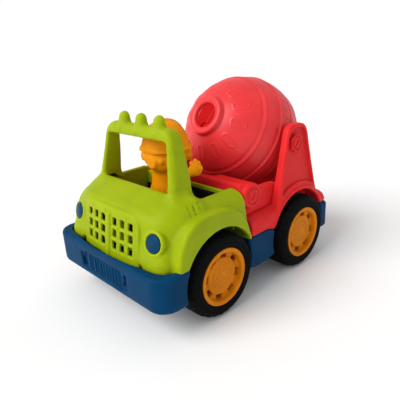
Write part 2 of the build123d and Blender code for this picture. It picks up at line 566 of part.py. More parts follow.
# ---------------------------------------------------------------- write the pieces
keep("chassis_base", chassis())
keep("cab_shell", cab())
keep("headlight_left", headlight(1))
keep("headlight_right", headlight(-1))
keep("cabin_tub", cabin_tub())
keep("driver_figure", driver())
keep("mixer_body", mixer_body())
keep("side_panel_left", side_panel(1))
keep("side_panel_right", side_panel(-1))
keep("pivot_cap_left", pivot_cap(1))
keep("pivot_cap_right", pivot_cap(-1))
f, r = drum()
keep("drum_front_shell", one(f))
keep("drum_rear_shell", one(r))
keep("drum_pin_left", drum_pin(1))
keep("drum_pin_right", drum_pin(-1))
for tag, y in (("front", FRONT_Y), ("rear", REAR_Y)):
    for side, sx in (("left", 1), ("right", -1)):
        keep(f"tyre_{tag}_{side}", one(tyre(y, sx)))
        keep(f"rim_{tag}_{side}", one(rim(y, sx)))
    keep(f"axle_{tag}", one(axle(y)))
keep("cab_screws", screws(SCREWS[:4]))
keep("body_screws", screws(SCREWS[4:]))
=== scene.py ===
import math
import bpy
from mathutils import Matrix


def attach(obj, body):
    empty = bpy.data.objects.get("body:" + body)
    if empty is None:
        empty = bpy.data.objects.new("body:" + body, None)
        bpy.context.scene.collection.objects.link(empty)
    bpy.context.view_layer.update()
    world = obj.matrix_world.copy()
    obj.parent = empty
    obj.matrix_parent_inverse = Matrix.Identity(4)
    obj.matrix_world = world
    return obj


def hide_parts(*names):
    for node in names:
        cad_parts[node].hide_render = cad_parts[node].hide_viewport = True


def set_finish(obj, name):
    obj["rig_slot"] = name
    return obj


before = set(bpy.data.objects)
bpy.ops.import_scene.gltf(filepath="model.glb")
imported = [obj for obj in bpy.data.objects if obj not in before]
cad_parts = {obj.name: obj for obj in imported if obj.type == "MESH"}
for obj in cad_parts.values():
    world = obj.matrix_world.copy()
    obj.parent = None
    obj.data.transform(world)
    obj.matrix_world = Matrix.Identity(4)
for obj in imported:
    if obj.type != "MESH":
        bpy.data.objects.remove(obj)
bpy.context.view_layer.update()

from concurrent.futures import ThreadPoolExecutor

import bpy
import numpy as np
from mathutils import Matrix, Vector

ORIGIN_Y = 2.7          # the layout below is in millimetres, ORIGIN_Y behind the frame's origin
SCALE = 1.0


# ---------------------------------------------------------------- distance fields
def smin(a, b, k):
    h = np.maximum(k - np.abs(a - b), 0.0)
    return np.minimum(a, b) - h * h / (4 * k)


def smax(a, b, k):
    h = np.maximum(k - np.abs(a - b), 0.0)
    return np.maximum(a, b) + h * h / (4 * k)


def cut(a, b, k):
    return smax(a, -b, k)


def split(P):
    return P[:, 0], P[:, 1], P[:, 2]


def bx(X, Y, Z, x0, x1, y0, y1, z0, z1, r=0.8):
    qx = np.abs(X - (x0 + x1) / 2) - (x1 - x0) / 2 + r
    qy = np.abs(Y - (y0 + y1) / 2) - (y1 - y0) / 2 + r
    qz = np.abs(Z - (z0 + z1) / 2) - (z1 - z0) / 2 + r
    o = np.sqrt(np.maximum(qx, 0) ** 2 + np.maximum(qy, 0) ** 2 + np.maximum(qz, 0) ** 2)
    return o + np.minimum(np.maximum(np.maximum(qx, qy), qz), 0) - r


def slab(A, a0, a1):
    return np.abs(A - (a0 + a1) / 2) - abs(a1 - a0) / 2


def rod(U, V, W, u, v, r, w0, w1, k=1.2):
    """Round bar along W."""
    return smax(np.hypot(U - u, V - v) - r, slab(W, w0, w1), k)


def stick(X, Y, Z, a, b, r0, r1=None):
    """Round stick between two points, with ball ends, tapering from r0 to r1."""
    r1 = r0 if r1 is None else r1
    a, b = np.array(a, float), np.array(b, float)
    d = b - a
    t = np.clip(((X - a[0]) * d[0] + (Y - a[1]) * d[1] + (Z - a[2]) * d[2]) / (d @ d), 0, 1)
    return np.sqrt((X - a[0] - t * d[0]) ** 2 + (Y - a[1] - t * d[1]) ** 2 + (Z - a[2] - t * d[2]) ** 2) - (r0 + (r1 - r0) * t)


def ball(X, Y, Z, c, r):
    """Ball or egg; r is a radius or three of them."""
    if np.isscalar(r):
        return np.sqrt((X - c[0]) ** 2 + (Y - c[1]) ** 2 + (Z - c[2]) ** 2) - r
    q = np.sqrt(((X - c[0]) / r[0]) ** 2 + ((Y - c[1]) / r[1]) ** 2 + ((Z - c[2]) / r[2]) ** 2)
    return (q - 1) * min(r)


def rrect(U, V, hu, hv, r):
    qu, qv = np.abs(U) - hu + r, np.abs(V) - hv + r
    return np.sqrt(np.maximum(qu, 0) ** 2 + np.maximum(qv, 0) ** 2) + np.minimum(np.maximum(qu, qv), 0) - r


def bend(pts, m=6):
    """A smooth run through the points."""
    p = np.array(pts, float)
    q = np.vstack([2 * p[0] - p[1], p, 2 * p[-1] - p[-2]])
    out = []
    for i in range(1, len(q) - 2):
        for j in range(m):
            t = j / m
            out.append(0.5 * (2 * q[i] + (q[i + 1] - q[i - 1]) * t + (2 * q[i - 1] - 5 * q[i] + 4 * q[i + 1] - q[i + 2]) * t * t
                              + (3 * q[i] - q[i - 1] - 3 * q[i + 1] + q[i + 2]) * t ** 3))
    out.append(p[-1])
    return [tuple(v) for v in out]


def smooth_rows(a, s, axis):
    n = int(max(1, math.ceil(3 * s)))
    w = np.exp(-0.5 * (np.arange(-n, n + 1) / s) ** 2)
    w /= w.sum()
    a = np.moveaxis(a, axis, 0)
    # straight continuation at the borders
    top = a[0] + (a[0] - a[1]) * np.arange(n, 0, -1)[:, None]
    end = a[-1] + (a[-1] - a[-2]) * np.arange(1, n + 1)[:, None]
    e = np.vstack([top, a, end])
    out = sum(w[i] * e[i:i + len(a)] for i in range(2 * n + 1))
    return np.moveaxis(out, 0, axis)


class Outline:
    """Signed distance to a closed outline, kept on a fine grid. soft rounds its corners."""

    def __init__(self, pts, soft=0.0, res=0.5, pad=12.0):
        p = np.array(pts, float)
        self.res, self.lo = res, p.min(0) - pad
        n = np.ceil((p.max(0) + pad - self.lo) / res).astype(int) + 1
        U, V = np.meshgrid(self.lo[0] + res * np.arange(n[0]), self.lo[1] + res * np.arange(n[1]), indexing="ij")
        d = np.full(U.shape, 1e18)
        ins = np.zeros(U.shape, bool)
        for i in range(len(p)):
            a0, a1 = p[i]
            b0, b1 = p[i - 1]
            e0, e1 = b0 - a0, b1 - a1
            ee = e0 * e0 + e1 * e1
            if ee < 1e-12:
                continue
            w0, w1 = U - a0, V - a1
            t = np.clip((w0 * e0 + w1 * e1) / ee, 0, 1)
            d = np.minimum(d, (w0 - e0 * t) ** 2 + (w1 - e1 * t) ** 2)
            if b1 != a1:
                ins ^= ((a1 > V) != (b1 > V)) & (U < e0 * (V - a1) / e1 + a0)
        d = np.where(ins, -1.0, 1.0) * np.sqrt(d)
        if soft > 0:
            d = smooth_rows(smooth_rows(d, soft / res, 0), soft / res, 1)
        self.n, self.d = n, d

    def __call__(self, U, V):
        a, b = (U - self.lo[0]) / self.res, (V - self.lo[1]) / self.res
        ac, bc = np.clip(a, 0, self.n[0] - 1.001), np.clip(b, 0, self.n[1] - 1.001)
        i, j = ac.astype(np.int64), bc.astype(np.int64)
        s, t = ac - i, bc - j
        d = self.d
        v = (d[i, j] * (1 - s) + d[i + 1, j] * s) * (1 - t) + (d[i, j + 1] * (1 - s) + d[i + 1, j + 1] * s) * t
        return v + np.hypot(a - ac, b - bc) * self.res


def table(xs, ys, soft):
    g = np.arange(min(xs) - 20, max(xs) + 20, 0.5)
    v = np.interp(g, xs, ys)
    v = smooth_rows(v[:, None], soft / 0.5, 0)[:, 0]
    return lambda q: np.interp(q, g, v)


# ---------------------------------------------------------------- meshes from distance fields
def sample(f, P):
    out = np.empty(len(P))
    for i in range(0, len(P), 120000):
        out[i:i + 120000] = f(P[i:i + 120000])
    return out


CORNER = np.array([[i, j, k] for i in (0, 1) for j in (0, 1) for k in (0, 1)])
EDGES = [(a, b) for a in range(8) for b in range(a + 1, 8) if bin(a ^ b).count("1") == 1]
M = 4096


def surface(f, lo, hi, h, steep=1.0):
    """Vertices and quads of the skin where f is zero."""
    lo, hi = np.array(lo, float), np.array(hi, float)
    L = 3
    n = np.ceil((hi - lo) / (h * 2 ** L)).astype(int)
    idx = np.stack(np.meshgrid(*[np.arange(k) for k in n], indexing="ij"), -1).reshape(-1, 3)
    for level in range(L, -1, -1):
        s = h * 2 ** level
        v = sample(f, lo + (idx + 0.5) * s)
        idx = idx[np.abs(v) < 1.08 * s * steep]
        if level:
            idx = (idx[:, None, :] * 2 + CORNER[None]).reshape(-1, 3)
    pack = lambda q: ((q[..., 0] + 4) * M + q[..., 1] + 4) * M + q[..., 2] + 4
    keys, inv = np.unique(pack(idx[:, None, :] + CORNER[None]), return_inverse=True)
    q = np.stack([keys // (M * M) - 4, keys // M % M - 4, keys % M - 4], -1)
    cv = sample(f, lo + h * q)[inv.reshape(-1)].reshape(-1, 8)
    act = (cv.min(1) < 0) & (cv.max(1) >= 0)
    idx, cv = idx[act], cv[act]
    acc, cnt = np.zeros((len(idx), 3)), np.zeros(len(idx))
    for a, b in EDGES:
        m = (cv[:, a] < 0) != (cv[:, b] < 0)
        t = np.where(m, cv[:, a] / np.where(m, cv[:, a] - cv[:, b], 1), 0)
        acc += np.where(m[:, None], CORNER[a] + (CORNER[b] - CORNER[a]) * t[:, None], 0)
        cnt += m
    V = lo + h * (idx + acc / cnt[:, None])
    ck = pack(idx)
    order = np.argsort(ck)
    sk = ck[order]

    def find(cells):
        k = pack(cells)
        i = np.clip(np.searchsorted(sk, k), 0, len(sk) - 1)
        return np.where(sk[i] == k, order[i], -1)

    quads = []
    for ax in range(3):
        e1, e2 = np.zeros(3, int), np.zeros(3, int)
        e1[(ax + 1) % 3] = 1
        e2[(ax + 2) % 3] = 1
        end = [4, 2, 1][ax]
        sa, sb = cv[:, 0] < 0, cv[:, end] < 0
        m = np.nonzero(sa != sb)[0]
        c = idx[m]
        qd = np.stack([m, find(c - e1), find(c - e1 - e2), find(c - e2)], -1)
        ok = (qd >= 0).all(1)
        qd, inside = qd[ok], sa[m][ok]
        qd[~inside] = qd[~inside][:, ::-1]
        quads.append(qd)
    F = np.vstack(quads)
    e = 0.04
    for _ in range(3):
        v0 = sample(f, V)
        g = np.stack([sample(f, V + np.eye(3)[i] * e) - v0 for i in range(3)], -1) / e
        step = v0[:, None] * g / np.maximum((g * g).sum(1), 0.25)[:, None]
        ln = np.sqrt((step ** 2).sum(1))
        V = V - step * np.minimum(1, 0.35 * h / np.maximum(ln, 1e-9))[:, None]
    used = np.unique(F)
    remap = np.full(len(V), -1)
    remap[used] = np.arange(len(used))
    return V[used], remap[F]


def make_mesh(name, V, F):
    """A mesh from layout millimetres."""
    co = (np.asarray(V, float) - [0, ORIGIN_Y, 0]) / 1000.0
    F = np.asarray(F)
    me = bpy.data.meshes.new(name)
    me.vertices.add(len(co))
    me.vertices.foreach_set("co", co.astype(np.float32).ravel())
    k = F.shape[1]
    me.loops.add(F.size)
    me.loops.foreach_set("vertex_index", F.astype(np.int32).ravel())
    me.polygons.add(len(F))
    me.polygons.foreach_set("loop_start", np.arange(0, F.size, k, dtype=np.int32))
    me.polygons.foreach_set("use_smooth", np.ones(len(F), bool))
    me.update(calc_edges=True)
    me.validate()
    ob = bpy.data.objects.new(name, me)
    bpy.context.scene.collection.objects.link(ob)
    return ob


def lathe(profile, seg):
    """Closed profile of (axial, radius) turned round the first axis; vertices as (axial, v, w)."""
    p = np.array(profile, float)
    a = np.arange(seg) * 2 * math.pi / seg
    V = np.stack([np.repeat(p[:, 0][None], seg, 0), p[:, 1] * np.cos(a)[:, None], p[:, 1] * np.sin(a)[:, None]], -1).reshape(-1, 3)
    n = len(p)
    i, j = np.meshgrid(np.arange(seg), np.arange(n), indexing="ij")
    i2, j2 = (i + 1) % seg, (j + 1) % n
    F = np.stack([i * n + j, i * n + j2, i2 * n + j2, i2 * n + j], -1).reshape(-1, 4)
    return V, F


def flip(F):
    return np.asarray(F)[:, ::-1]


# ---------------------------------------------------------------- cab
ARCH_R, ARCH_Z, FRONT_Y, REAR_Y = 42.3, 39.8, -52.0, 66.0
WALL = 2.8
nose = bend([(76, -66), (75.5, -75), (73.0, -86), (67.4, -94.6), (61.2, -100.0), (54, -102.7), (42, -104.3), (22, -106.0), (0, -106.8)])
foot = bend([(76, -66), (76, -84), (75.2, -95), (73.0, -102.4), (68.8, -107.4), (62, -110.4), (54, -111.2), (46, -110.8), (38, -109.6), (20, -110.0), (0, -110.4)])
PLAN_HIGH = Outline(nose + [(-x, y) for x, y in nose[::-1][1:]] + [(-76, -8), (76, -8)], soft=1.5)
PLAN_LOW = Outline(foot + [(-x, y) for x, y in foot[::-1][1:]] + [(-76, -8), (76, -8)], soft=1.5)
SIDE = Outline([(-128, 55.0), (-128, 82), (-113, 86)] + bend([(-108.8, 89.6), (-107.2, 95.2), (-103.8, 100.4), (-99.2, 104.0), (-93, 107.0),
               (-80, 112.2), (-74, 113.6), (-66, 113.2), (-62, 109.0), (-57, 106.2), (-50, 105.8), (-30, 105.8), (-21, 105.4),
               (-17.4, 103.6), (-15.8, 99.6), (-15.2, 92), (-14.4, 84), (-12.0, 70), (-9.2, 57.2)]) + [(-86, 57.2), (-88, 55.0)], soft=0.8)
T_HALF = table([-118, -97, -80, -64, -56, -5], [76, 76, 76, 76, 76, 76], 4)
T_TOP = table([-118, -97, -80, -64, -56, -5], [103.5, 108.5, 113.6, 113.6, 106.4, 106.2], 2.5)
T_R = table([-118, -97, -80, -64, -56, -5], [50, 46, 36, 30, 21, 20], 3)
FLARE = Outline([(-100.4, 57.2)] + bend([(-100.4, 57.2), (-99.6, 66), (-97.0, 75), (-93.0, 84), (-87.5, 91), (-80.0, 95.8), (-70.6, 98.0),
                (-60, 98.2), (-49.7, 97.9), (-39.7, 96.2), (-31.2, 92.6), (-24.0, 86.5), (-18.4, 78), (-14.6, 68), (-11.5, 57.2)]), soft=0.8)
GRILLE = Outline([(-40.8, 50), (-40.8, 88.2), (-39.9, 92.8), (-37.2, 96.4), (-33.0, 98.8), (-28, 99.6), (28, 99.6), (33.0, 98.8), (37.2, 96.4),
                  (39.9, 92.8), (40.8, 88.2), (40.8, 50)], soft=1.0)
PANEL_YZ = Outline([(-114.9, 48), (-113.3, 57), (-111.6, 67.6), (-109.9, 78.6), (-108.4, 88.8), (-107.2, 96), (-105.4, 100.4), (-102.2, 103.8), (-93, 107.6),
                    (-93, 48)], soft=1.0)
H_SIDE = Outline([(-82.8, 102), (-80.4, 112), (-77.6, 126), (-73.6, 150), (-72.2, 158), (-70.6, 162.0), (-68.4, 163.4), (-64.4, 163.4),
                  (-62.2, 161.8), (-61.5, 158), (-61.4, 148), (-60.7, 137), (-60.6, 125), (-60.9, 117), (-61.2, 110), (-61.0, 102)], soft=0.5)
H_FRONT = Outline([(-58.0, 102), (-56.2, 107), (-54.9, 111), (-53.9, 115), (-53.4, 120), (-51.7, 128), (-50.0, 136), (-47.5, 150), (-45.8, 155),
                   (-43, 159), (-39.6, 162), (-35, 163.4), (35, 163.4), (39.6, 162), (43, 159), (45.8, 155), (47.5, 150), (50.0, 136),
                   (51.7, 128), (53.4, 120), (53.9, 115), (54.9, 111), (56.2, 107), (58.0, 102)], soft=0.6)
H_HOLE = Outline([(-46.9, 112.4), (-41.0, 152.6), (41.0, 152.6), (46.9, 112.4)], soft=1.8)


LENS_C = np.array([56.3, -105.0, 81.3])
LENS_N = np.array([math.sin(math.radians(7.5)) * math.cos(math.radians(15)), -math.cos(math.radians(7.5)) * math.cos(math.radians(15)), math.sin(math.radians(15))])


def PANEL(X, Y, Z):
    """Raised grille panel, bowed a little backwards towards its sides."""
    return PANEL_YZ(Y - 2.1 * (np.minimum(np.abs(X), 48) / 40.0) ** 2, Z)


def block(A, Y, Z):
    hf, tp, r = T_HALF(Y), T_TOP(Y), T_R(Y)
    qx, qz = A - hf + r, Z - tp + r
    sec = np.hypot(np.maximum(qx, 0), np.maximum(qz, 0)) + np.minimum(np.maximum(qx, qz), 0) - r
    t = np.clip((Z - 60.0) / 30.0, 0, 1)
    t = t * t * (3 - 2 * t)
    d = smax(PLAN_LOW(A, Y) * (1 - t) + PLAN_HIGH(A, Y) * t, SIDE(Y, Z), 5.0)
    return smax(d, sec, np.interp(Y, [-96, -76], [12.0, 1.2]))


def cab_shell(P):
    X, Y, Z = split(P)
    A = np.abs(X)
    blk = block(A, Y, Z)
    d = smin(blk, smax(FLARE(Y, Z), slab(A, 62, 80.2), 4.0), 2.2)
    d = smin(d, smax(GRILLE(X, Z), PANEL(X, Y, Z), 1.8), 0.8)
    # windscreen frame with three cones on its roof
    wide = np.clip((A - 27.0) / 13.0, 0, 1)
    wide = wide * wide * (3 - 2 * wide)
    Yh = np.where(Y > -70.0, -70.0 + (Y + 70.0) * 9.0 / (9.0 + 3.4 * wide), Y)
    hoop = smax(H_SIDE(Yh, Z), H_FRONT(X, Z), np.interp(Y, [-73, -65], [7.0, 2.4]))
    hoop = smax(hoop, 100.0 - Z, 0.5)
    d = smin(d, hoop, 4.5)
    for cx in (-22.0, 2.4, 26.8):
        cone = stick(X, Y, Z, (cx, -65.6, 158), (cx, -64.8, 167.0), 7.4, 5.3)
        cone = smax(smax(cone, 157.0 - Z, 0.5), Y + 61.4, 2.6)
        d = smin(d, cone, 2.4)
    # cabin opening
    op = np.minimum(bx(A, Y, Z, -46.4, 46.4, -75.6, -16, 50, 112.9, 2.5), bx(A, Y, Z, -59.8, 59.8, -57.2, -16, 50, 152, 3.0))
    op = np.minimum(op, bx(A, Y, Z, -29, 29, -61.4, -16, 50, 152, 3.0))
    op = np.minimum(op, bx(A, Y, Z, -59.8, 59.8, -75.6, -16, 50, 102.6, 2.0))
    d = cut(d, op, 2.4)
    d = cut(d, smax(H_HOLE(X, Z), slab(Y, -95, -40), 1.0), 3.6)
    d = cut(d, blk + WALL, 0.8)
    # inner skins of the doors and the rear wall
    d = smin(d, bx(A, Y, Z, 59.8, 62.2, -75.6, -16.4, 58, 103.6, 0.8), 1.0)
    d = smin(d, bx(X, Y, Z, -61, 61, -18.4, -15.4, 57.2, 99.6, 1.1), 0.8)
    # wheel arches
    d = cut(d, smax(np.hypot(Y - FRONT_Y, Z - ARCH_Z) - ARCH_R, 50.6 - A, 1.0), 1.4)
    # the apron ends on the bumper's top
    d = cut(d, smax(Z - 55.6, Y + 87.0, 0.6), 0.6)
    # the raised panel is thin; its windows, an upright bar in the middle and fine grooves
    pan = PANEL(X, Y, Z)
    d = cut(d, smax(smax(pan + 2.7, GRILLE(X, Z) + 2.8, 1.0), Y + 95.0, 0.6), 0.8)
    w = np.full(len(X), 1e3)
    for cx in (8.9, 19.6, 30.3):
        for cz, h in ((88.2, 6.9), (78.0, 7.2), (67.4, 7.5)):
            w = np.minimum(w, rrect(A - cx, Z - cz, 3.05, h / 2, 0.7))
    d = cut(d, smax(w, Y + 100.0, 0.5), 0.7)
    d = smin(d, smax(smax(np.abs(X) - 2.7, slab(Z, 56, 95.0), 1.6), np.maximum(pan - 1.3, -pan - 1.5), 1.2), 0.8)
    g = np.minimum(rrect(A - 4.3, Z - 79.5, 0.5, 17.5, 0.5), np.minimum(rrect(A - 14.3, Z - 79.0, 0.45, 16.5, 0.4), rrect(A - 25.0, Z - 79.0, 0.45, 16.5, 0.4)))
    d = cut(d, smax(g, np.abs(pan) - 0.7, 0.4), 0.6)
    # lens seats
    wx, wy, wz = A - LENS_C[0], Y - LENS_C[1], Z - LENS_C[2]
    ax = wx * LENS_N[0] + wy * LENS_N[1] + wz * LENS_N[2]
    rr = np.sqrt(np.maximum(wx * wx + wy * wy + wz * wz - ax * ax, 0))
    d = smin(d, smax(rr - 10.5, slab(ax, -6.4, -2.4), 1.0), 1.0)
    d = smin(d, np.hypot(rr - 8.9, ax + 1.1) - 1.25, 2.2)
    d = cut(d, smax(rr - 7.95, slab(ax, -2.4, 8), 0.4), 0.6)
    # slanted vents on the hood's shoulders, and two ticks low on the apron
    v = np.full(len(X), 1e3)
    for y0 in (-74.6, -69.4, -64.2):
        v = np.minimum(v, np.maximum(stick(A, Y, Z, (64.6, y0 + 0.6, 105.0), (71.0, y0 - 1.2, 98.2), 0.75), np.abs(Y - y0 - 0.4 + (A - 64.8) * 0.26) - 0.5))
    for k in (0, 1):
        v = np.minimum(v, stick(A, Y, Z, (62.4 + 3.0 * k, -107.0 + 2.2 * k, 62.4), (62.4 + 3.0 * k, -106.2 + 2.2 * k, 67.6), 0.6))
    d = cut(d, v, 0.8)
    # notches where the raised panel meets the bumper
    d = cut(d, bx(A, Y, Z, 41.6, 46.0, -120, -103, 54, 60.4, 0.8), 0.8)
    return smax(d, np.interp(Y, [-88, -86], [55.6, 57.2]) - Z, 0.6)


# ---------------------------------------------------------------- cabin tub
def cabin_tub(P):
    X, Y, Z = split(P)
    A = np.abs(X)
    t = 59.5
    d = bx(X, Y, Z, -t, t, -75.4, -18.6, 58.4, 62.0, 1.0)
    d = smin(d, bx(X, Y, Z, -t, t, -75.4, -72.6, 58.4, 108.3, 1.0), 2.0)
    d = smin(d, smax(bx(X, Y, Z, -t, t, -21.2, -18.6, 58.4, 97.0, 1.0), Z - np.interp(X, [-26, -6], [87.0, 96.4]), 0.8), 2.0)
    arch = smax(np.hypot(Y - FRONT_Y, Z - ARCH_Z) - 46.0, slab(A, 48.0, t), 1.6)
    d = smin(d, smax(arch, slab(Y, -75.4, -18.6), 0.8), 2.0)
    d = cut(d, smax(np.hypot(Y - FRONT_Y, Z - ARCH_Z) - 43.4, 50.6 - A, 0.8), 0.8)
    rr = np.hypot(X, Y + 39.2)
    d = smin(d, smax(np.abs(rr - 19.3) - 1.6, slab(Z, 58.5, 67), 1.2), 1.2)
    d = smin(d, smax(rr - 6.0, slab(Z, 58.5, 70), 1.4), 1.2)
    # ribs on the front and the rear wall
    for cx in (-36, -12, 12, 36):
        d = smin(d, bx(X, Y, Z, cx - 1, cx + 1, -73, -71.2, 61, 103, 0.6), 0.8)
    for cx in (-44, -22, 0, 22, 44):
        d = smin(d, bx(X, Y, Z, cx - 1, cx + 1, -22.6, -20.8, 61, 85, 0.6), 0.8)
    return smax(d, block(A, Y, Z) + 1.2, 0.6)


# ---------------------------------------------------------------- driver
DRV_Y = -39.2
FIGURE = Outline([(-30, 62.2), (17.0, 62.2), (17.3, 64), (17.3, 68), (16.9, 92), (16.0, 102), (15.0, 108), (14.7, 114), (15.6, 119.0), (18.4, 123.0),
                  (21.0, 127.0), (21.9, 130.5), (21.2, 133.6), (20.4, 135.2), (23.2, 135.9), (24.5, 136.9), (24.3, 138.4), (22.4, 140.2),
                  (21.2, 144), (19.4, 149.6), (16.6, 154.6), (12.4, 158.8), (7.0, 161.4), (0, 162.2), (-30, 162.2)], soft=0.7)


def driver_figure(P):
    X, Y, Z = split(P)
    y = Y - DRV_Y
    r = np.hypot(X, y)
    d = FIGURE(r, Z)
    # ridge along the helmet, a band above the brim
    crest = smax(np.sqrt(y * y + (Z - 139.0) ** 2) - 24.3, slab(X, -3.1, 3.1), 2.0)
    crest = smax(crest, 142.5 - Z, 2.0)
    d = smin(d, smax(crest, -y - 19.5, 2.0), 2.4)
    # face turned a little to the truck's left: ears, chin, nose and eyes
    c, s = 0.62, -0.785
    f = X * c + y * s                        # out of the face
    q = -X * s + y * c                       # across the face
    for k in (-1, 1):
        d = smin(d, ball(q, f, Z, (k * 21.2, -0.5, 129.6), (3.0, 4.4, 4.8)), 2.0)
        d = cut(d, ball(q, f, Z, (k * 6.6, 21.6, 131.6), 1.5), 0.8)
        d = smin(d, ball(q, f, Z, (k * 8.6, 15.6, 127.0), 6.2), 3.0)
    d = smin(d, ball(q, f, Z, (0, 20.9, 129.0), 2.0), 2.2)
    d = smin(d, ball(q, f, Z, (0, 9.4, 124.6), (12.6, 10.6, 8.6)), 2.2)
    # raised left arm with an open hand
    arm = stick(X, y, Z, (8, 0, 108), (33.4, 1.2, 119.4), 5.6, 4.5)
    hand = ball(X, y, Z, (37.4, 1.4, 121.8), (6.0, 4.6, 5.4))
    hand = smin(hand, ball(X, y, Z, (38.2, 1.5, 124.2), (5.2, 4.0, 4.6)), 2.0)
    for a, b, r in (((34.4, 1, 123.0), (32.6, 1.0, 127.2), 2.0), ((37.4, 1, 125), (37.3, 1.2, 129.8), 2.1), ((40.0, 1, 124.6), (41.0, 1.3, 128.6), 2.1),
                    ((41.2, 1, 121.6), (43.8, 1.2, 124.4), 2.0)):
        hand = smin(hand, stick(X, y, Z, a, b, r, r - 0.2), 1.6)
    d = smin(d, smin(arm, hand, 2.4), 2.4)
    # right arm held against the body
    right = stick(X, y, Z, (-14.6, -1.0, 104), (-18.6, -3.0, 92), 5.0, 4.6)
    right = smin(right, stick(X, y, Z, (-18.6, -3.0, 92), (-11.5, -13.0, 86), 4.5, 4.2), 1.5)
    d = smin(d, smin(right, ball(X, y, Z, (-9.6, -15.0, 85.6), 4.8), 1.6), 2.0)
    # jacket: front seam, collar and buttons
    d = cut(d, smax(np.abs(q) - 0.5, smax(np.abs(f - 17.2) - 1.0, slab(Z, 70, 112), 0.6), 0.4), 0.6)
    d = smin(d, np.hypot(r - 14.6, Z - 113.6) - 1.1, 1.6)
    for z in (82, 91, 100):
        d = smin(d, ball(q, f, Z, (3.4, 16.4, z), 1.5), 0.6)
    d = smax(d, -60.4 + -Y, 1.5)
    rr = r - 6.4
    d = cut(d, smax(rr, slab(Z, 50, 71), 0.6), 0.8)
    return smax(d, 62.2 - Z, 0.8)


# ---------------------------------------------------------------- chassis
SKIRT = Outline([(-12, 27), (-4, 24.5), (12, 24.5), (27, 27.5), (27, 53.2), (16, 57), (-12, 57)], soft=0.4)
R_IN = Outline([(-34.4, 37.6), (-28.0, 52.8), (28.0, 52.8), (34.4, 37.6), (28.4, 34.4), (-28.4, 34.4)], soft=0.5)
R_END = Outline([(27.4, 38.4), (33.6, 52.6), (35.6, 51.0), (35.4, 36.4)], soft=0.5)
lip = [(75.9, -84), (75.9, -94), (74.2, -102.2), (70.2, -108.0), (63.6, -111.4), (55, -112.6), (46, -113.4), (41.9, -114.6), (30.8, -116.4), (16, -117.4), (0, -117.6)]
LIP = Outline(lip + [(-x, y) for x, y in lip[::-1][1:]], soft=0.6)
SCREWS = [(-34, -88), (34, -88), (-34, -22), (34, -22), (-34, 32), (34, 32), (-34, 98), (34, 98)]


def chassis_base(P):
    X, Y, Z = split(P)
    A = np.abs(X)
    qx, qy = A - 81.2 + 16.3, -Y - 120.3 + 16.3
    plan = np.hypot(np.maximum(qx, 0), np.maximum(qy, 0)) + np.minimum(np.maximum(qx, qy), 0) - 16.3
    plan = smax(plan, Y + 86.0, 1.0)
    d = smax(smax(plan, Z - 61.2, 3.6), 29.5 - Z, 4.5)
    # recess with upright ribs and a deeper pocket at each end
    rec = smax(R_IN(X, Z), slab(Y, -125, -118.7), 0.8)
    ribs = np.abs(np.mod(X + 2.3, 4.6) - 2.3) - 1.15
    rec = cut(rec, smax(smax(ribs, slab(Z, 36.4, 51), 0.8), slab(A, 0, 25), 0.6), 0.8)
    d = cut(d, rec, 1.0)
    d = cut(d, smax(R_END(A, Z), slab(Y, -125, -116.6), 0.8), 0.8)
    pocket = smax(smax(plan + 3.4, Y + 97.0, 1.0), slab(Z, 20, 52.4), 1.0)
    pocket = smax(pocket, 52.4 - A, 1.0)
    d = cut(d, pocket, 0.8)
    d = smin(d, bx(A, Y, Z, -50, 50, -112, 112, 26.0, 57.0, 1.2), 1.0)
    d = smin(d, smax(SKIRT(Y, Z), A - 76.0, 2.4), 1.4)
    d = smin(d, bx(A, Y, Z, -76.5, 76.5, 101, 120.3, 25.4, 55.8, 4.0), 2.0)
    d = cut(d, smax(smax(LIP(X, Y), 55.2 - Z, 0.8), Y + 85.4, 0.6), 1.0)
    for y in (FRONT_Y, REAR_Y):
        d = cut(d, smax(np.hypot(Y - y, Z - ARCH_Z) - ARCH_R, 50.4 - A, 0.8), 1.2)
    d = cut(d, bx(A, Y, Z, -47, 47, -109, -99, 29, 70, 1.0), 0.6)
    d = cut(d, bx(A, Y, Z, -47, 47, -96, 108.5, 29, 70, 1.0), 0.6)
    d = cut(d, bx(A, Y, Z, -73, 73, -7, 19, 28, 70, 1.0), 0.6)
    d = cut(d, bx(A, Y, Z, -72.5, 72.5, 111.5, 117.0, 29, 70, 1.0), 0.8)
    for y in (FRONT_Y, REAR_Y):
        d = smin(d, rod(Y, Z, X, y, 38.0, 5.0, -48, 48), 1.0)
        d = cut(d, np.hypot(Y - y, Z - 38.0) - 2.9, 0.4)
    for x, y in SCREWS:
        q = np.hypot(X - x, Y - y)
        d = smin(d, smax(q - 4.5, slab(Z, 27, 57), 0.8), 0.8)
        d = cut(d, smax(q - 3.6, Z - 30.0, 0.4), 0.6)
    return d


# ---------------------------------------------------------------- mixer body
DRUM_Y, DRUM_Z = 65.7, 129.7
BODY = Outline([(-10.6, 57.2)] + bend([(-10.6, 57.2), (-13.4, 70), (-14.0, 84), (-13.6, 97), (-12.6, 104.2), (-10.0, 106.2), (-4.0, 105.6), (4.0, 100.9),
               (14, 98.6), (36, 97.0), (62, 84), (98, 78), (112.5, 74)]) + [(112.5, 57.2)], soft=0.6)


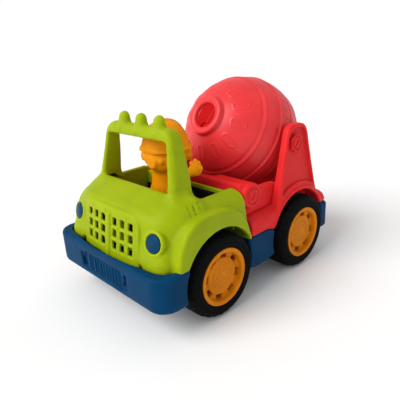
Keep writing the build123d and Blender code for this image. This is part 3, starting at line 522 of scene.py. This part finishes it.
def mixer_body(P):
    X, Y, Z = split(P)
    A = np.abs(X)
    ballc = np.sqrt(X * X + (Y - DRUM_Y) ** 2 + (Z - DRUM_Z) ** 2) - 66.2
    d = smax(BODY(Y, Z), A - 65.8, 3.0)
    d = cut(d, ballc, 1.0)
    d = cut(d, bx(A, Y, Z, -61.8, 61.8, -3.0, 104, 66.5, 130, 3.0), 1.6)
    low = smax(bx(A, Y, Z, -47.5, 47.5, -9.5, 108.5, 40, 63.4, 2.0), -(ballc - 3.0), 1.0)
    d = cut(d, low, 0.8)
    d = cut(d, smax(np.hypot(Y - REAR_Y, Z - ARCH_Z) - ARCH_R, 50.6 - A, 0.8), 1.0)
    rb = np.hypot(Y + 1.4, Z - 94.2)
    beam = smax(rb - 12.0, slab(A, 26.0, 71.6), 3.0)
    beam = cut(beam, ballc, 1.2)
    d = smin(d, beam, 2.4)
    # round end: a ring groove, a middle stud and its slot
    d = cut(d, smax(np.abs(rb - 7.6) - 0.7, slab(A, 70.4, 75), 0.4), 0.8)
    d = smin(d, smax(rb - 4.4, slab(A, 69, 72.2), 1.2), 0.8)
    sl = np.abs((Y + 1.4) * 0.85 - (Z - 94.2) * 0.52)
    d = cut(d, smax(smax(sl - 0.7, rb - 3.6, 0.5), slab(A, 71.2, 75), 0.4), 0.6)
    # ribs along the rear deck
    for x in (0, 12, 24, 36, 48):
        d = smin(d, bx(A, Y, Z, x - 0.9, x + 0.9, 104.5, 113.3, 60, 71.5, 0.7), 0.8)
    d = cut(d, bx(A, Y, Z, 59.4, 90, -24, -8.9, 50, 86, 1.0), 1.0)
    d = smax(d, -14.3 - Y, 0.8)
    return smax(d, 57.2 - Z, 0.6)


# ---------------------------------------------------------------- side panels
ARM = Outline([(28.2, 57.2), (30.9, 75), (36.5, 95.0), (44.8, 119.8), (51.6, 138.6), (53.6, 143.6), (57.4, 146.8), (64, 148.2),
               (73.6, 147.9), (79.6, 146.2), (83.6, 142.4), (85.3, 136.4), (87.2, 124.8), (91.2, 103.3), (94.8, 84.7), (97.2, 75.2),
               (104, 71.8), (110.5, 67.6), (115.0, 61.5), (116.6, 56.8), (100, 56.8)], soft=1.1)
ARM_IN = Outline([(37.4, 76), (41.4, 95.5), (48.6, 119.8), (53.8, 136.6), (56.0, 141.0), (59.4, 143.2), (65, 143.9),
                  (73.4, 143.6), (78.2, 142.2), (80.6, 139.6), (81.9, 135.2), (84.0, 124), (88.0, 102.6), (91.6, 84.4), (93.2, 76)], soft=0.9)
FLANGE = Outline([(-8.4, 57.2), (-8.4, 75.0), (34, 76.0), (34, 57.2)], soft=0.5)
FOOT = Outline([(15.6, 57.4), (29.0, 52.8), (50, 52.8), (50, 60), (16, 60)], soft=0.4)
L_OUT = table([40, 72, 149.5, 170], [76.0, 76.0, 70.3, 68.8], 3)
L_IN = table([40, 101, 149.5, 170], [66.0, 66.0, 62.7, 61.3], 3)
L_FL = table([40, 67, 71, 76, 90], [76.0, 76.0, 74.6, 68.0, 66.0], 1.2)


def side_panel(P):
    X, Y, Z = split(P)
    out, inn = L_OUT(Z), L_IN(Z)
    arm = smax(smax(ARM(Y, Z), X - out, 2.6), inn - X, 1.6)
    rec = smax(ARM_IN(Y, Z), (out - 3.0) - X, 1.6)
    # soft mound over the wheel arch closes the recess below
    rw = np.hypot(Y - REAR_Y, Z - ARCH_Z)
    rec = smax(rec, 50.6 - rw, 1.5)
    arm = cut(arm, rec, 1.4)
    d = smin(arm, smax(smax(FLANGE(Y, Z), X - L_FL(Z), 2.0), 66.0 - X, 0.8), 1.6)
    d = smin(d, smax(FOOT(Y, Z), slab(X, 67, 76), 1.2), 1.0)
    # rolled edge of the fender
    d = smin(d, smax(smax(rw - 45.6, slab(X, 70.0, 76.7), 1.4), smax(57.2 - Z, Y - 108, 1.0), 1.0), 1.2)
    d = cut(d, rw - ARCH_R, 1.6)
    d = cut(d, smax(np.hypot(Y - DRUM_Y, Z - DRUM_Z) - 11.2, slab(X, 69.0, 90), 0.6), 1.0)
    return cut(d, np.hypot(Y - DRUM_Y, Z - DRUM_Z) - 4.06, 0.5)


def pivot_cap(P):
    X, Y, Z = split(P)
    y, z = Y - DRUM_Y, Z - DRUM_Z
    a = np.abs(y)
    b = np.abs(z)
    hexa = smax(a - 8.3, a * 0.5 + b * 0.866 - 8.3, 1.2)
    d = smax(hexa, slab(X, 69.0, 71.9), 1.0)
    r = np.hypot(y, z)
    d = cut(d, smax(np.abs(r - 6.1) - 0.55, slab(X, 70.8, 75), 0.3), 0.5)
    # straight slot
    sl = np.abs(y * 0.80 - z * 0.60)
    return cut(d, smax(smax(sl - 0.75, r - 4.4, 0.4), slab(X, 70.6, 75), 0.3), 0.5)


# ---------------------------------------------------------------- drum
TILT = math.radians(28.84)
DA = np.array([0, -math.cos(TILT), math.sin(TILT)])     # towards the mouth
DU = np.array([0, math.sin(TILT), math.cos(TILT)])      # across, upwards
COLLAR = Outline([(-30, 50), (-30, 57.6), (19.9, 57.6), (19.6, 60.0), (18.6, 61.2), (16.8, 61.5), (14.8, 61.3), (12.5, 60.3), (12.1, 58), (12.1, 50)],
                 soft=0.25, res=0.25)


def drum_skin(P):
    X, Y, Z = split(P)
    y, z = Y - DRUM_Y, Z - DRUM_Z
    a = y * DA[1] + z * DA[2]
    u = y * DU[1] + z * DU[2]
    r = np.hypot(X, u)
    R = np.sqrt(r * r + a * a)
    th = np.degrees(np.arctan2(r, a))
    ph = np.degrees(np.arctan2(u, X))
    step = lambda q: np.clip(q, 0, 1) ** 2 * (3 - 2 * np.clip(q, 0, 1))
    bump = 0.45 * step((14.9 - np.abs(a)) / 1.0 + 0.5)
    # rings: a ridge with a groove on the mouth's side
    aa = np.abs(a)
    bump += 0.75 * np.exp(-((aa - 30.8) / 0.85) ** 2) - 0.65 * np.exp(-((aa - 33.4) / 1.0) ** 2)
    bump += 0.55 * np.exp(-((aa - 14.0) / 0.8) ** 2) - 0.30 * np.exp(-((aa - 16.4) / 0.9) ** 2)
    # raised outlines round the mouth
    k = np.round((ph - 28.0) / 30.0)
    al = (th - 36.0) * math.pi / 180 * 60
    ac = (ph - 28.0 - 30.0 * k) * math.pi / 180 * np.maximum(r, 1)
    bar = rrect(al, ac, 7.6, 3.6, 2.9)
    m = (a > 20)
    bump += np.where(m, 0.46 * step((0.9 - np.abs(bar)) / 0.9 + 0.25), 0)
    # short slanted grooves on the middle band
    g = np.full(len(X), 9.0)
    for p0, a0, p1, a1 in ((39.0, 10.5, 37.0, -8.4), (20.5, 13.0, 18.5, -4.0), (141.0, 10.5, 143.0, -8.4), (159.5, 13.0, 161.5, -4.0)):
        t = np.clip((a - a0) / (a1 - a0), 0, 1)
        g = np.minimum(g, np.hypot((ph - p0 - (p1 - p0) * t) * math.pi / 180 * 60, a - a0 - (a1 - a0) * t))
    bump -= 0.7 * np.exp(-(g / 0.8) ** 2)
    # hub at the back
    d = (R - 60.0 - bump) * 0.98
    d = smin(d, smax(rod(u, X, a, 0, 0, 9.0, -61.6, -56, 1.6), -60, 0.1), 1.6)
    d = smin(d, smax(np.hypot(a, u) - 9.0, slab(np.abs(X), 54, 62.0), 1.0), 1.2)
    d = smin(d, COLLAR(r, a), 2.4)
    inner = 57.0 - R
    d = smax(d, inner, 0.6)
    d = smin(d, smax(np.hypot(a, u) - 7.0, slab(np.abs(X), 52.5, 59.0), 0.8), 0.8)
    d = cut(d, smax(r - 12.1, 40.0 - a, 0.5), 1.6)
    d = cut(d, smax(np.hypot(a, u) - 4.1, 40.0 - np.abs(X), 0.4), 0.4)
    return d, a


def seam(P):
    R = np.sqrt(P[:, 0] ** 2 + (P[:, 1] - DRUM_Y) ** 2 + (P[:, 2] - DRUM_Z) ** 2)
    return np.interp(R, [57.8, 59.2], [0.05, 1.8])


def drum_front(P):
    d, a = drum_skin(P)
    return smax(d, 0.02 - a, seam(P))


def drum_rear(P):
    d, a = drum_skin(P)
    return smax(d, a + 0.02, seam(P))


# ---------------------------------------------------------------- rims
RIM = Outline([(54.0, 2.52), (54.0, 8.0), (70.0, 8.0), (73.2, 10.0), (73.4, 21.4), (54.0, 21.4), (54.0, 24.0), (80.3, 24.0), (80.7, 26.0), (81.4, 26.1),
               (81.9, 25.4), (81.9, 23.4), (81.2, 22.2), (77.9, 21.2), (77.3, 20.4), (77.4, 17.6), (78.4, 16.4), (78.9, 10.0), (79.3, 4.0), (79.3, 2.52)],
              soft=0.28, res=0.25)


def rim(P):
    """Front left rim; the others are copies."""
    X, Y, Z = split(P)
    y, z = Y - FRONT_Y, Z - 38.0
    r = np.hypot(y, z)
    d = RIM(X, r)
    d = smin(d, smax(r - 2.6, slab(X, 75.0, 79.3), 0.3), 0.3)
    ph = np.degrees(np.arctan2(z, y))
    q = (np.mod(ph - 34.0 + 22.5, 45.0) - 22.5) * math.pi / 180 * np.maximum(r, 3)
    win = rrect(q, r - 19.1, 3.7, 2.3, 1.4)
    d = cut(d, smax(win, slab(X, 60.0, 83), 0.4), 0.8)
    # rows of small studs on the domed disc
    for rad, n, ofs in ((0.01, 1, 0), (5.4, 6, 0), (10.6, 12, 11.5)):
        st = 360.0 / n
        qq = (np.mod(ph - ofs + st / 2, st) - st / 2) * math.pi / 180 * rad
        dome = np.where(r < 10, 79.1, 78.7)
        d = smin(d, np.sqrt(qq ** 2 + (r - rad) ** 2 + (X - dome + 0.25) ** 2) - 1.25, 0.8)
    return cut(d, smax(r - 2.55, X - 73.6, 0.3), 0.3)


# ---------------------------------------------------------------- build the pieces
H = SCALE
JOBS = {
    "cab": (cab_shell, (-84, -118, 54), (84, -6, 174), 1.18 * H),
    "chassis": (chassis_base, (-84, -123, 22), (84, 123, 63), 1.3 * H),
    "tub": (cabin_tub, (-62, -78, 56), (62, -16, 109), 1.2 * H),
    "body": (mixer_body, (-75, -17, 55), (75, 116, 109), 1.2 * H),
    "panel": (side_panel, (58, -11, 50), (80, 120, 152), 0.85 * H),
    "capx": (pivot_cap, (67, 55, 118), (73, 77, 142), 0.42 * H),
    "drumf": (drum_front, (-64, -2, 66), (64, 100, 194), 0.96 * H, 2.2),
    "drumr": (drum_rear, (-64, 33, 66), (64, 130, 194), 0.96 * H, 2.2),
    "driver": (driver_figure, (-28, -63, 60), (49, -12, 167), 0.72 * H),
    "rim": (rim, (52, -80, 10), (83.4, -24, 66), 0.62 * H),
}
with ThreadPoolExecutor(4) as pool:
    waits = {k: pool.submit(surface, *v) for k, v in JOBS.items()}
    got = {k: w.result() for k, w in waits.items()}
for k, (v, f) in got.items():
    print("piece", k, len(v), "vertices", len(f), "quads", v.min(0).round(2), v.max(0).round(2))

pieces = {}


def piece(name, V, F, body, nodes, slot, mirror=False):
    V = np.array(V, float)
    if mirror:
        V = V * [-1, 1, 1]
        F = flip(F)
    ob = make_mesh(name, V, F)
    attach(ob, body)
    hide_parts(*nodes)
    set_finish(ob, slot)
    pieces[name] = ob
    return ob


piece("chassis_moulding", *got["chassis"], "root", ["chassis_base"], "blue_plastic")
piece("cab_moulding", *got["cab"], "root", ["cab_shell"], "green_plastic")
# the cabin tub is coloured near-black as painted shade for the dim cabin interior
piece("cabin_tub_moulding", *got["tub"], "root", ["cabin_tub"], "dark_plastic")
piece("mixer_body_moulding", *got["body"], "root", ["mixer_body"], "red_plastic")
piece("driver_moulding", *got["driver"], "driver", ["driver_figure"], "orange_plastic")
piece("drum_front_moulding", *got["drumf"], "drum", ["drum_front_shell"], "drum_plastic")
piece("drum_rear_moulding", *got["drumr"], "drum", ["drum_rear_shell"], "drum_plastic")
for side, mir in (("left", False), ("right", True)):
    piece("side_panel_moulding_" + side, *got["panel"], "root", ["side_panel_" + side], "red_plastic", mir)
    piece("pivot_cap_moulding_" + side, *got["capx"], "root", ["pivot_cap_" + side], "red_plastic", mir)

# lenses: a domed disc with a rim step
lens_profile = [(-2.3, 0.001), (-2.3, 7.2), (-2.0, 7.55), (-0.4, 7.6), (0.2, 7.5), (0.55, 7.1), (0.62, 6.7), (0.42, 6.35), (0.44, 6.0), (0.62, 5.5),
                (0.95, 4.0), (1.15, 2.4), (1.25, 1.0), (1.27, 0.001)]
LV, LF = lathe(lens_profile, 96)
for side, sx in (("left", 1), ("right", -1)):
    n = LENS_N
    t = np.cross(n, [0, 0, 1.0])
    t /= np.linalg.norm(t)
    V = LENS_C + LV[:, :1] * n + LV[:, 1:2] * t + LV[:, 2:] * np.cross(t, n)
    piece("lens_" + side, V, LF, "root", ["headlight_" + side], "lamp_blue_plastic", sx < 0)

# wheels
a_, b_ = 52.4, 81.8
tyre_profile = bend([(b_ - 1.6, 24.1), (b_ - 1.2, 25.4), (b_ - 0.9, 26.4), (b_ - 0.5, 27.0), (b_ - 0.15, 27.7), (b_, 28.8), (b_ + 0.05, 30.2),
                     (b_ - 0.35, 30.8), (b_ - 0.3, 31.4), (b_ + 0.0, 31.9), (b_ - 0.25, 33.2), (b_ - 0.9, 34.6), (b_ - 2.0, 35.9),
                     (b_ - 3.4, 36.9), (b_ - 5.2, 37.6), (b_ - 7.5, 37.9), (b_ - 10.0, 38.0), (b_ - 14.7, 38.0), (a_ + 10, 38.0), (a_ + 7.5, 37.9),
                     (a_ + 5.2, 37.6), (a_ + 3.4, 36.9), (a_ + 2.0, 35.9), (a_ + 0.9, 34.6), (a_ + 0.25, 33.2), (a_, 31.5), (a_, 29), (a_ + 0.3, 27),
                     (a_ + 1.2, 24.6), (a_ + 2.0, 24.1)], 3)
TV, TF = lathe(tyre_profile, 240)
ang = np.arctan2(TV[:, 2], TV[:, 1])
rad = np.hypot(TV[:, 1], TV[:, 2])
# low blocks round the shoulders
blk = np.clip((np.cos(ang * 30) - 0.10) * 3.0, -1, 1)
amp = 0.28 * np.exp(-((rad - 36.4) / 1.5) ** 2) * blk
TV[:, 1:] *= (1 + amp / rad)[:, None]
det = {"front": FRONT_Y, "rear": REAR_Y}
for tag, yy in det.items():
    for side, sx in (("left", 1), ("right", -1)):
        V = np.stack([TV[:, 0], TV[:, 1] + yy, TV[:, 2] + 38.0], -1)
        piece(f"tyre_moulding_{tag}_{side}", V, TF, tag + "_wheelset", [f"tyre_{tag}_{side}"], "tyre_rubber", sx < 0)
        rv, rf = got["rim"]
        piece(f"rim_moulding_{tag}_{side}", rv + [0, yy - FRONT_Y, 0], rf, tag + "_wheelset", [f"rim_{tag}_{side}"], "amber_plastic", sx < 0)


def outward(ob):
    """Turns a closed skin's faces outwards."""
    me = ob.data
    n = len(me.polygons)
    co = np.zeros(len(me.vertices) * 3, np.float32)
    me.vertices.foreach_get("co", co)
    co = co.reshape(-1, 3)
    me.calc_loop_triangles()
    tri = np.zeros(len(me.loop_triangles) * 3, np.int32)
    me.loop_triangles.foreach_get("vertices", tri)
    t = co[tri.reshape(-1, 3)]
    vol = np.einsum("ij,ij->i", t[:, 0], np.cross(t[:, 1], t[:, 2])).sum() / 6
    if vol < 0:
        me.flip_normals()
    return vol


for ob in pieces.values():
    outward(ob)


# ---------------------------------------------------------------- finishes
def lin(c):
    c = [v / 255.0 for v in c]
    return [v / 12.92 if v <= 0.04045 else ((v + 0.055) / 1.055) ** 2.4 for v in c]


def finish(name, rgb, rough=0.38, spread=0.10, hue=(0.0, 0.0, 0.0), sub=0.0, radius=(1.0, 0.6, 0.2), bump=0.05, grain=900.0, mottle=38.0,
           wear=0.25, coat=0.0, metallic=0.0, spec=0.5, dust=0.0):
    """Moulded surface: slow colour drift, flow marks, fine grain in the bump and in the roughness, edges a shade
    lighter for wear, hollows painted darker as shade.
    """
    m = bpy.data.materials.new(name)
    m.use_nodes = True
    nt = m.node_tree
    nt.nodes.clear()
    N, Lk = nt.nodes.new, nt.links.new
    out = N("ShaderNodeOutputMaterial")
    b = N("ShaderNodeBsdfPrincipled")
    Lk(b.outputs[0], out.inputs[0])
    tc = N("ShaderNodeTexCoord")
    base = lin(rgb)

    def noise(scale, detail, dist=0.0):
        n = N("ShaderNodeTexNoise")
        n.inputs["Scale"].default_value = scale
        n.inputs["Detail"].default_value = detail
        n.inputs["Roughness"].default_value = 0.6
        n.inputs["Distortion"].default_value = dist
        Lk(tc.outputs["Object"], n.inputs["Vector"])
        return n

    def ramp(src, stops):
        r = N("ShaderNodeValToRGB")
        while len(r.color_ramp.elements) < len(stops):
            r.color_ramp.elements.new(0.5)
        for e, (p, c) in zip(r.color_ramp.elements, stops):
            e.position = p
            e.color = (*c, 1) if len(c) == 3 else c
        Lk(src, r.inputs[0])
        return r

    slow = noise(mottle, 4, 0.4)
    lo = [max(0, v * (1 - spread) - h * 0.5) for v, h in zip(base, hue)]
    hi = [min(1, v * (1 + spread) + h * 0.5) for v, h in zip(base, hue)]
    colour = ramp(slow.outputs["Fac"], [(0.30, lo), (0.52, base), (0.72, hi)])
    last = colour.outputs[0]
    # flow marks, stretched along the length
    mp = N("ShaderNodeMapping")
    mp.inputs["Scale"].default_value = (60, 14, 90)
    Lk(tc.outputs["Object"], mp.inputs["Vector"])
    flow = N("ShaderNodeTexNoise")
    flow.inputs["Scale"].default_value = 1.0
    flow.inputs["Detail"].default_value = 3.0
    Lk(mp.outputs[0], flow.inputs["Vector"])
    fr = ramp(flow.outputs["Fac"], [(0.35, (0.93, 0.93, 0.93)), (0.65, (1.0, 1.0, 1.0))])
    mul = N("ShaderNodeMix")
    mul.data_type = "RGBA"
    mul.blend_type = "MULTIPLY"
    mul.inputs[0].default_value = 0.6
    Lk(last, mul.inputs[6])
    Lk(fr.outputs[0], mul.inputs[7])
    last = mul.outputs[2]
    # lighter edges for wear; hollows painted darker as shade (painted shade from pointiness)
    geo = N("ShaderNodeNewGeometry")
    # painted shade: low pointiness (hollows, creases) is multiplied down to 0.8; high pointiness is lightened by
    # wear
    wear_and_hollow_shade_ramp = ramp(geo.outputs["Pointiness"], [(0.44, (0.80, 0.80, 0.80)), (0.50, (1.0, 1.0, 1.0)), (0.58, (1.0 + wear,) * 3)])
    wear_and_hollow_shade_mul = N("ShaderNodeMix")
    wear_and_hollow_shade_mul.data_type = "RGBA"
    wear_and_hollow_shade_mul.blend_type = "MULTIPLY"
    wear_and_hollow_shade_mul.inputs[0].default_value = 0.8
    Lk(last, wear_and_hollow_shade_mul.inputs[6])
    Lk(wear_and_hollow_shade_ramp.outputs[0], wear_and_hollow_shade_mul.inputs[7])
    last = wear_and_hollow_shade_mul.outputs[2]
    if dust > 0:
        dn = noise(120, 6, 0.8)
        dr = ramp(dn.outputs["Fac"], [(0.52, (0, 0, 0)), (0.78, (dust, dust, dust))])
        dm = N("ShaderNodeMix")
        dm.data_type = "RGBA"
        Lk(dr.outputs[0], dm.inputs[0])
        Lk(last, dm.inputs[6])
        dm.inputs[7].default_value = (0.16, 0.15, 0.14, 1)
        last = dm.outputs[2]
    Lk(last, b.inputs["Base Color"])
    fine = noise(grain, 3)
    mid = noise(210, 4, 0.3)
    rmix = N("ShaderNodeMath")
    rmix.operation = "MULTIPLY_ADD"
    Lk(mid.outputs["Fac"], rmix.inputs[0])
    rmix.inputs[1].default_value = 0.16
    rmix.inputs[2].default_value = rough - 0.08
    Lk(rmix.outputs[0], b.inputs["Roughness"])
    bp1 = N("ShaderNodeBump")
    bp1.inputs["Strength"].default_value = bump
    bp1.inputs["Distance"].default_value = 0.0006
    Lk(fine.outputs["Fac"], bp1.inputs["Height"])
    bp2 = N("ShaderNodeBump")
    bp2.inputs["Strength"].default_value = 0.10
    bp2.inputs["Distance"].default_value = 0.0012
    wob = noise(46, 2)
    Lk(wob.outputs["Fac"], bp2.inputs["Height"])
    Lk(bp1.outputs[0], bp2.inputs["Normal"])
    Lk(bp2.outputs[0], b.inputs["Normal"])
    b.inputs["Metallic"].default_value = metallic
    b.inputs["Specular IOR Level"].default_value = spec
    if sub > 0:
        b.inputs["Subsurface Weight"].default_value = sub
        b.inputs["Subsurface Radius"].default_value = radius
        b.inputs["Subsurface Scale"].default_value = 0.003
    if coat > 0:
        b.inputs["Coat Weight"].default_value = coat
        b.inputs["Coat Roughness"].default_value = 0.22
    return m


MATS = {
    "green_plastic": finish("green_plastic", (146, 164, 4), 0.44, 0.05, (0.02, 0.01, 0.0), sub=0.08, radius=(0.8, 1.0, 0.2), spec=0.1),
    "blue_plastic": finish("blue_plastic", (0, 54, 90), 0.46, 0.10, (0.0, 0.006, 0.012), spec=0.05),
    "lamp_blue_plastic": finish("lamp_blue_plastic", (0, 52, 84), 0.30, 0.10, (0.0, 0.006, 0.014), coat=0.04, spec=0.08),
    # near-black finish used as painted shade inside the cabin, not the tub's own plastic colour
    "dark_plastic": finish("dark_plastic", (8, 11, 16), 0.50, 0.20, (0.0, 0.0, 0.004), wear=0.5, spec=0.08),
    "red_plastic": finish("red_plastic", (216, 36, 38), 0.42, 0.06, (0.02, 0.002, 0.002), sub=0.12, radius=(1.0, 0.25, 0.2), spec=0.1),
    "drum_plastic": finish("drum_plastic", (218, 46, 50), 0.38, 0.05, (0.02, 0.004, 0.004), sub=0.12, radius=(1.0, 0.25, 0.2), spec=0.34),
    "orange_plastic": finish("orange_plastic", (228, 142, 2), 0.44, 0.05, (0.02, 0.012, 0.0), sub=0.12, radius=(1.0, 0.6, 0.2), spec=0.08),
    "amber_plastic": finish("amber_plastic", (204, 120, 4), 0.40, 0.08, (0.02, 0.012, 0.0), sub=0.10, radius=(1.0, 0.6, 0.2), spec=0.08),
    "tyre_rubber": finish("tyre_rubber", (9, 10, 10), 0.64, 0.20, (0.001, 0.001, 0.001), bump=0.16, grain=700, wear=0.3, spec=0.04, dust=0.02),
    "axle_steel": finish("axle_steel", (150, 150, 152), 0.30, 0.08, metallic=1.0, bump=0.08),
    "screw_steel": finish("screw_steel", (140, 138, 134), 0.34, 0.10, metallic=1.0, bump=0.10),
}


def dress(ob, slot):
    ob.data.materials.clear()
    ob.data.materials.append(MATS[slot])


for ob in pieces.values():
    dress(ob, ob["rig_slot"])
CARRIED = {"drum_pin_left": "red_plastic", "drum_pin_right": "red_plastic", "axle_front": "axle_steel", "axle_rear": "axle_steel",
           "cab_screws": "screw_steel", "body_screws": "screw_steel"}
for n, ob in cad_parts.items():
    if n in CARRIED:
        dress(ob, CARRIED[n])

# ---------------------------------------------------------------- stage, light and camera
fl = bpy.data.meshes.new("floor")
S = 14.0
fl.from_pydata([(-S, -S, 0), (S, -S, 0), (S, S, 0), (-S, S, 0)], [], [(0, 1, 2, 3)])
floor = bpy.data.objects.new("floor", fl)
bpy.context.scene.collection.objects.link(floor)
fm = bpy.data.materials.new("floor_paper")
fm.use_nodes = True
fb = fm.node_tree.nodes["Principled BSDF"]
fb.inputs["Roughness"].default_value = 0.9
fb.inputs["Specular IOR Level"].default_value = 0.1
ftc = fm.node_tree.nodes.new("ShaderNodeTexCoord")
fno = fm.node_tree.nodes.new("ShaderNodeTexNoise")
fno.inputs["Scale"].default_value = 6.0
fra = fm.node_tree.nodes.new("ShaderNodeValToRGB")
fra.color_ramp.elements[0].color = (0.87, 0.87, 0.87, 1)
fra.color_ramp.elements[1].color = (0.91, 0.91, 0.91, 1)
fm.node_tree.links.new(ftc.outputs["Object"], fno.inputs["Vector"])
fm.node_tree.links.new(fno.outputs["Fac"], fra.inputs[0])
fm.node_tree.links.new(fra.outputs[0], fb.inputs["Base Color"])
fl.materials.append(fm)

world = bpy.context.scene.world or bpy.data.worlds.new("World")
bpy.context.scene.world = world
world.use_nodes = True
wn = world.node_tree
wn.nodes.clear()
wo = wn.nodes.new("ShaderNodeOutputWorld")
bg = wn.nodes.new("ShaderNodeBackground")
bg.inputs[0].default_value = (1, 1, 1, 1)
# bright low band all round, dimmer overhead
wc = wn.nodes.new("ShaderNodeTexCoord")
wx_ = wn.nodes.new("ShaderNodeSeparateXYZ")
wr = wn.nodes.new("ShaderNodeValToRGB")
wr.color_ramp.elements[0].position = 0.10
wr.color_ramp.elements[0].color = (1, 1, 1, 1)
wr.color_ramp.elements[1].position = 0.24
wr.color_ramp.elements[1].color = (0.60, 0.60, 0.60, 1)
wn.links.new(wc.outputs["Generated"], wx_.inputs[0])
wn.links.new(wx_.outputs["Z"], wr.inputs[0])
wn.links.new(wr.outputs[0], bg.inputs[0])
bg.inputs[1].default_value = 1.0
wn.links.new(bg.outputs[0], wo.inputs[0])


# one broad soft key from the front, far enough away to light the paper evenly
sun = bpy.data.lights.new("key", "SUN")
sun.energy = 2.7
sun.angle = math.radians(42)
sun.color = (1.0, 0.995, 0.985)
suno = bpy.data.objects.new("key", sun)
suno.rotation_euler = (Vector((0, 0, 0)) - Vector((-0.30, -1.0, 0.95))).to_track_quat("-Z", "Y").to_euler()
bpy.context.scene.collection.objects.link(suno)
# glow of light coming through the drum's thin wall, seen in its mouth
gl = bpy.data.lights.new("drum_glow", "POINT")
gl.energy = 0.046
gl.shadow_soft_size = 0.012
gl.specular_factor = 0.0
glo = bpy.data.objects.new("drum_glow", gl)
glo.location = (0, (DRUM_Y - ORIGIN_Y) / 1000, DRUM_Z / 1000)
bpy.context.scene.collection.objects.link(glo)

cam = bpy.data.cameras.new("camera")
cam.sensor_width = 36.0
cam.lens = 38.586
cam.clip_start = 0.01
cam.clip_end = 60
cam.dof.use_dof = False
co = bpy.data.objects.new("camera", cam)
A_, E_, R_ = math.radians(46.96), math.radians(20.43), math.radians(-3.19)
back = Vector((math.sin(A_) * math.cos(E_), -math.cos(A_) * math.cos(E_), math.sin(E_)))
right = Vector((math.cos(A_), math.sin(A_), 0))
up = back.cross(right)
cx_, cy_ = right * math.cos(R_) + up * math.sin(R_), up * math.cos(R_) - right * math.sin(R_)
rot = Matrix((cx_, cy_, back)).transposed()
co.matrix_world = Matrix.Translation(Vector((0.30179, -0.28440, 0.22739))) @ rot.to_4x4()
bpy.context.scene.collection.objects.link(co)
bpy.context.scene.camera = co
bpy.context.scene.view_settings.view_transform = "Standard"
bpy.context.scene.view_settings.look = "None"
bpy.context.scene.view_settings.exposure = 0.0
bpy.context.scene.view_settings.gamma = 1.0

# ---------------------------------------------------------------- sizes
lo_, hi_ = np.full(3, 1e9), np.full(3, -1e9)
shown = list(pieces.values()) + [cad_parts[n] for n in CARRIED]
for ob in shown:
    c = np.zeros(len(ob.data.vertices) * 3, np.float32)
    ob.data.vertices.foreach_get("co", c)
    c = c.reshape(-1, 3)
    lo_, hi_ = np.minimum(lo_, c.min(0)), np.maximum(hi_, c.max(0))
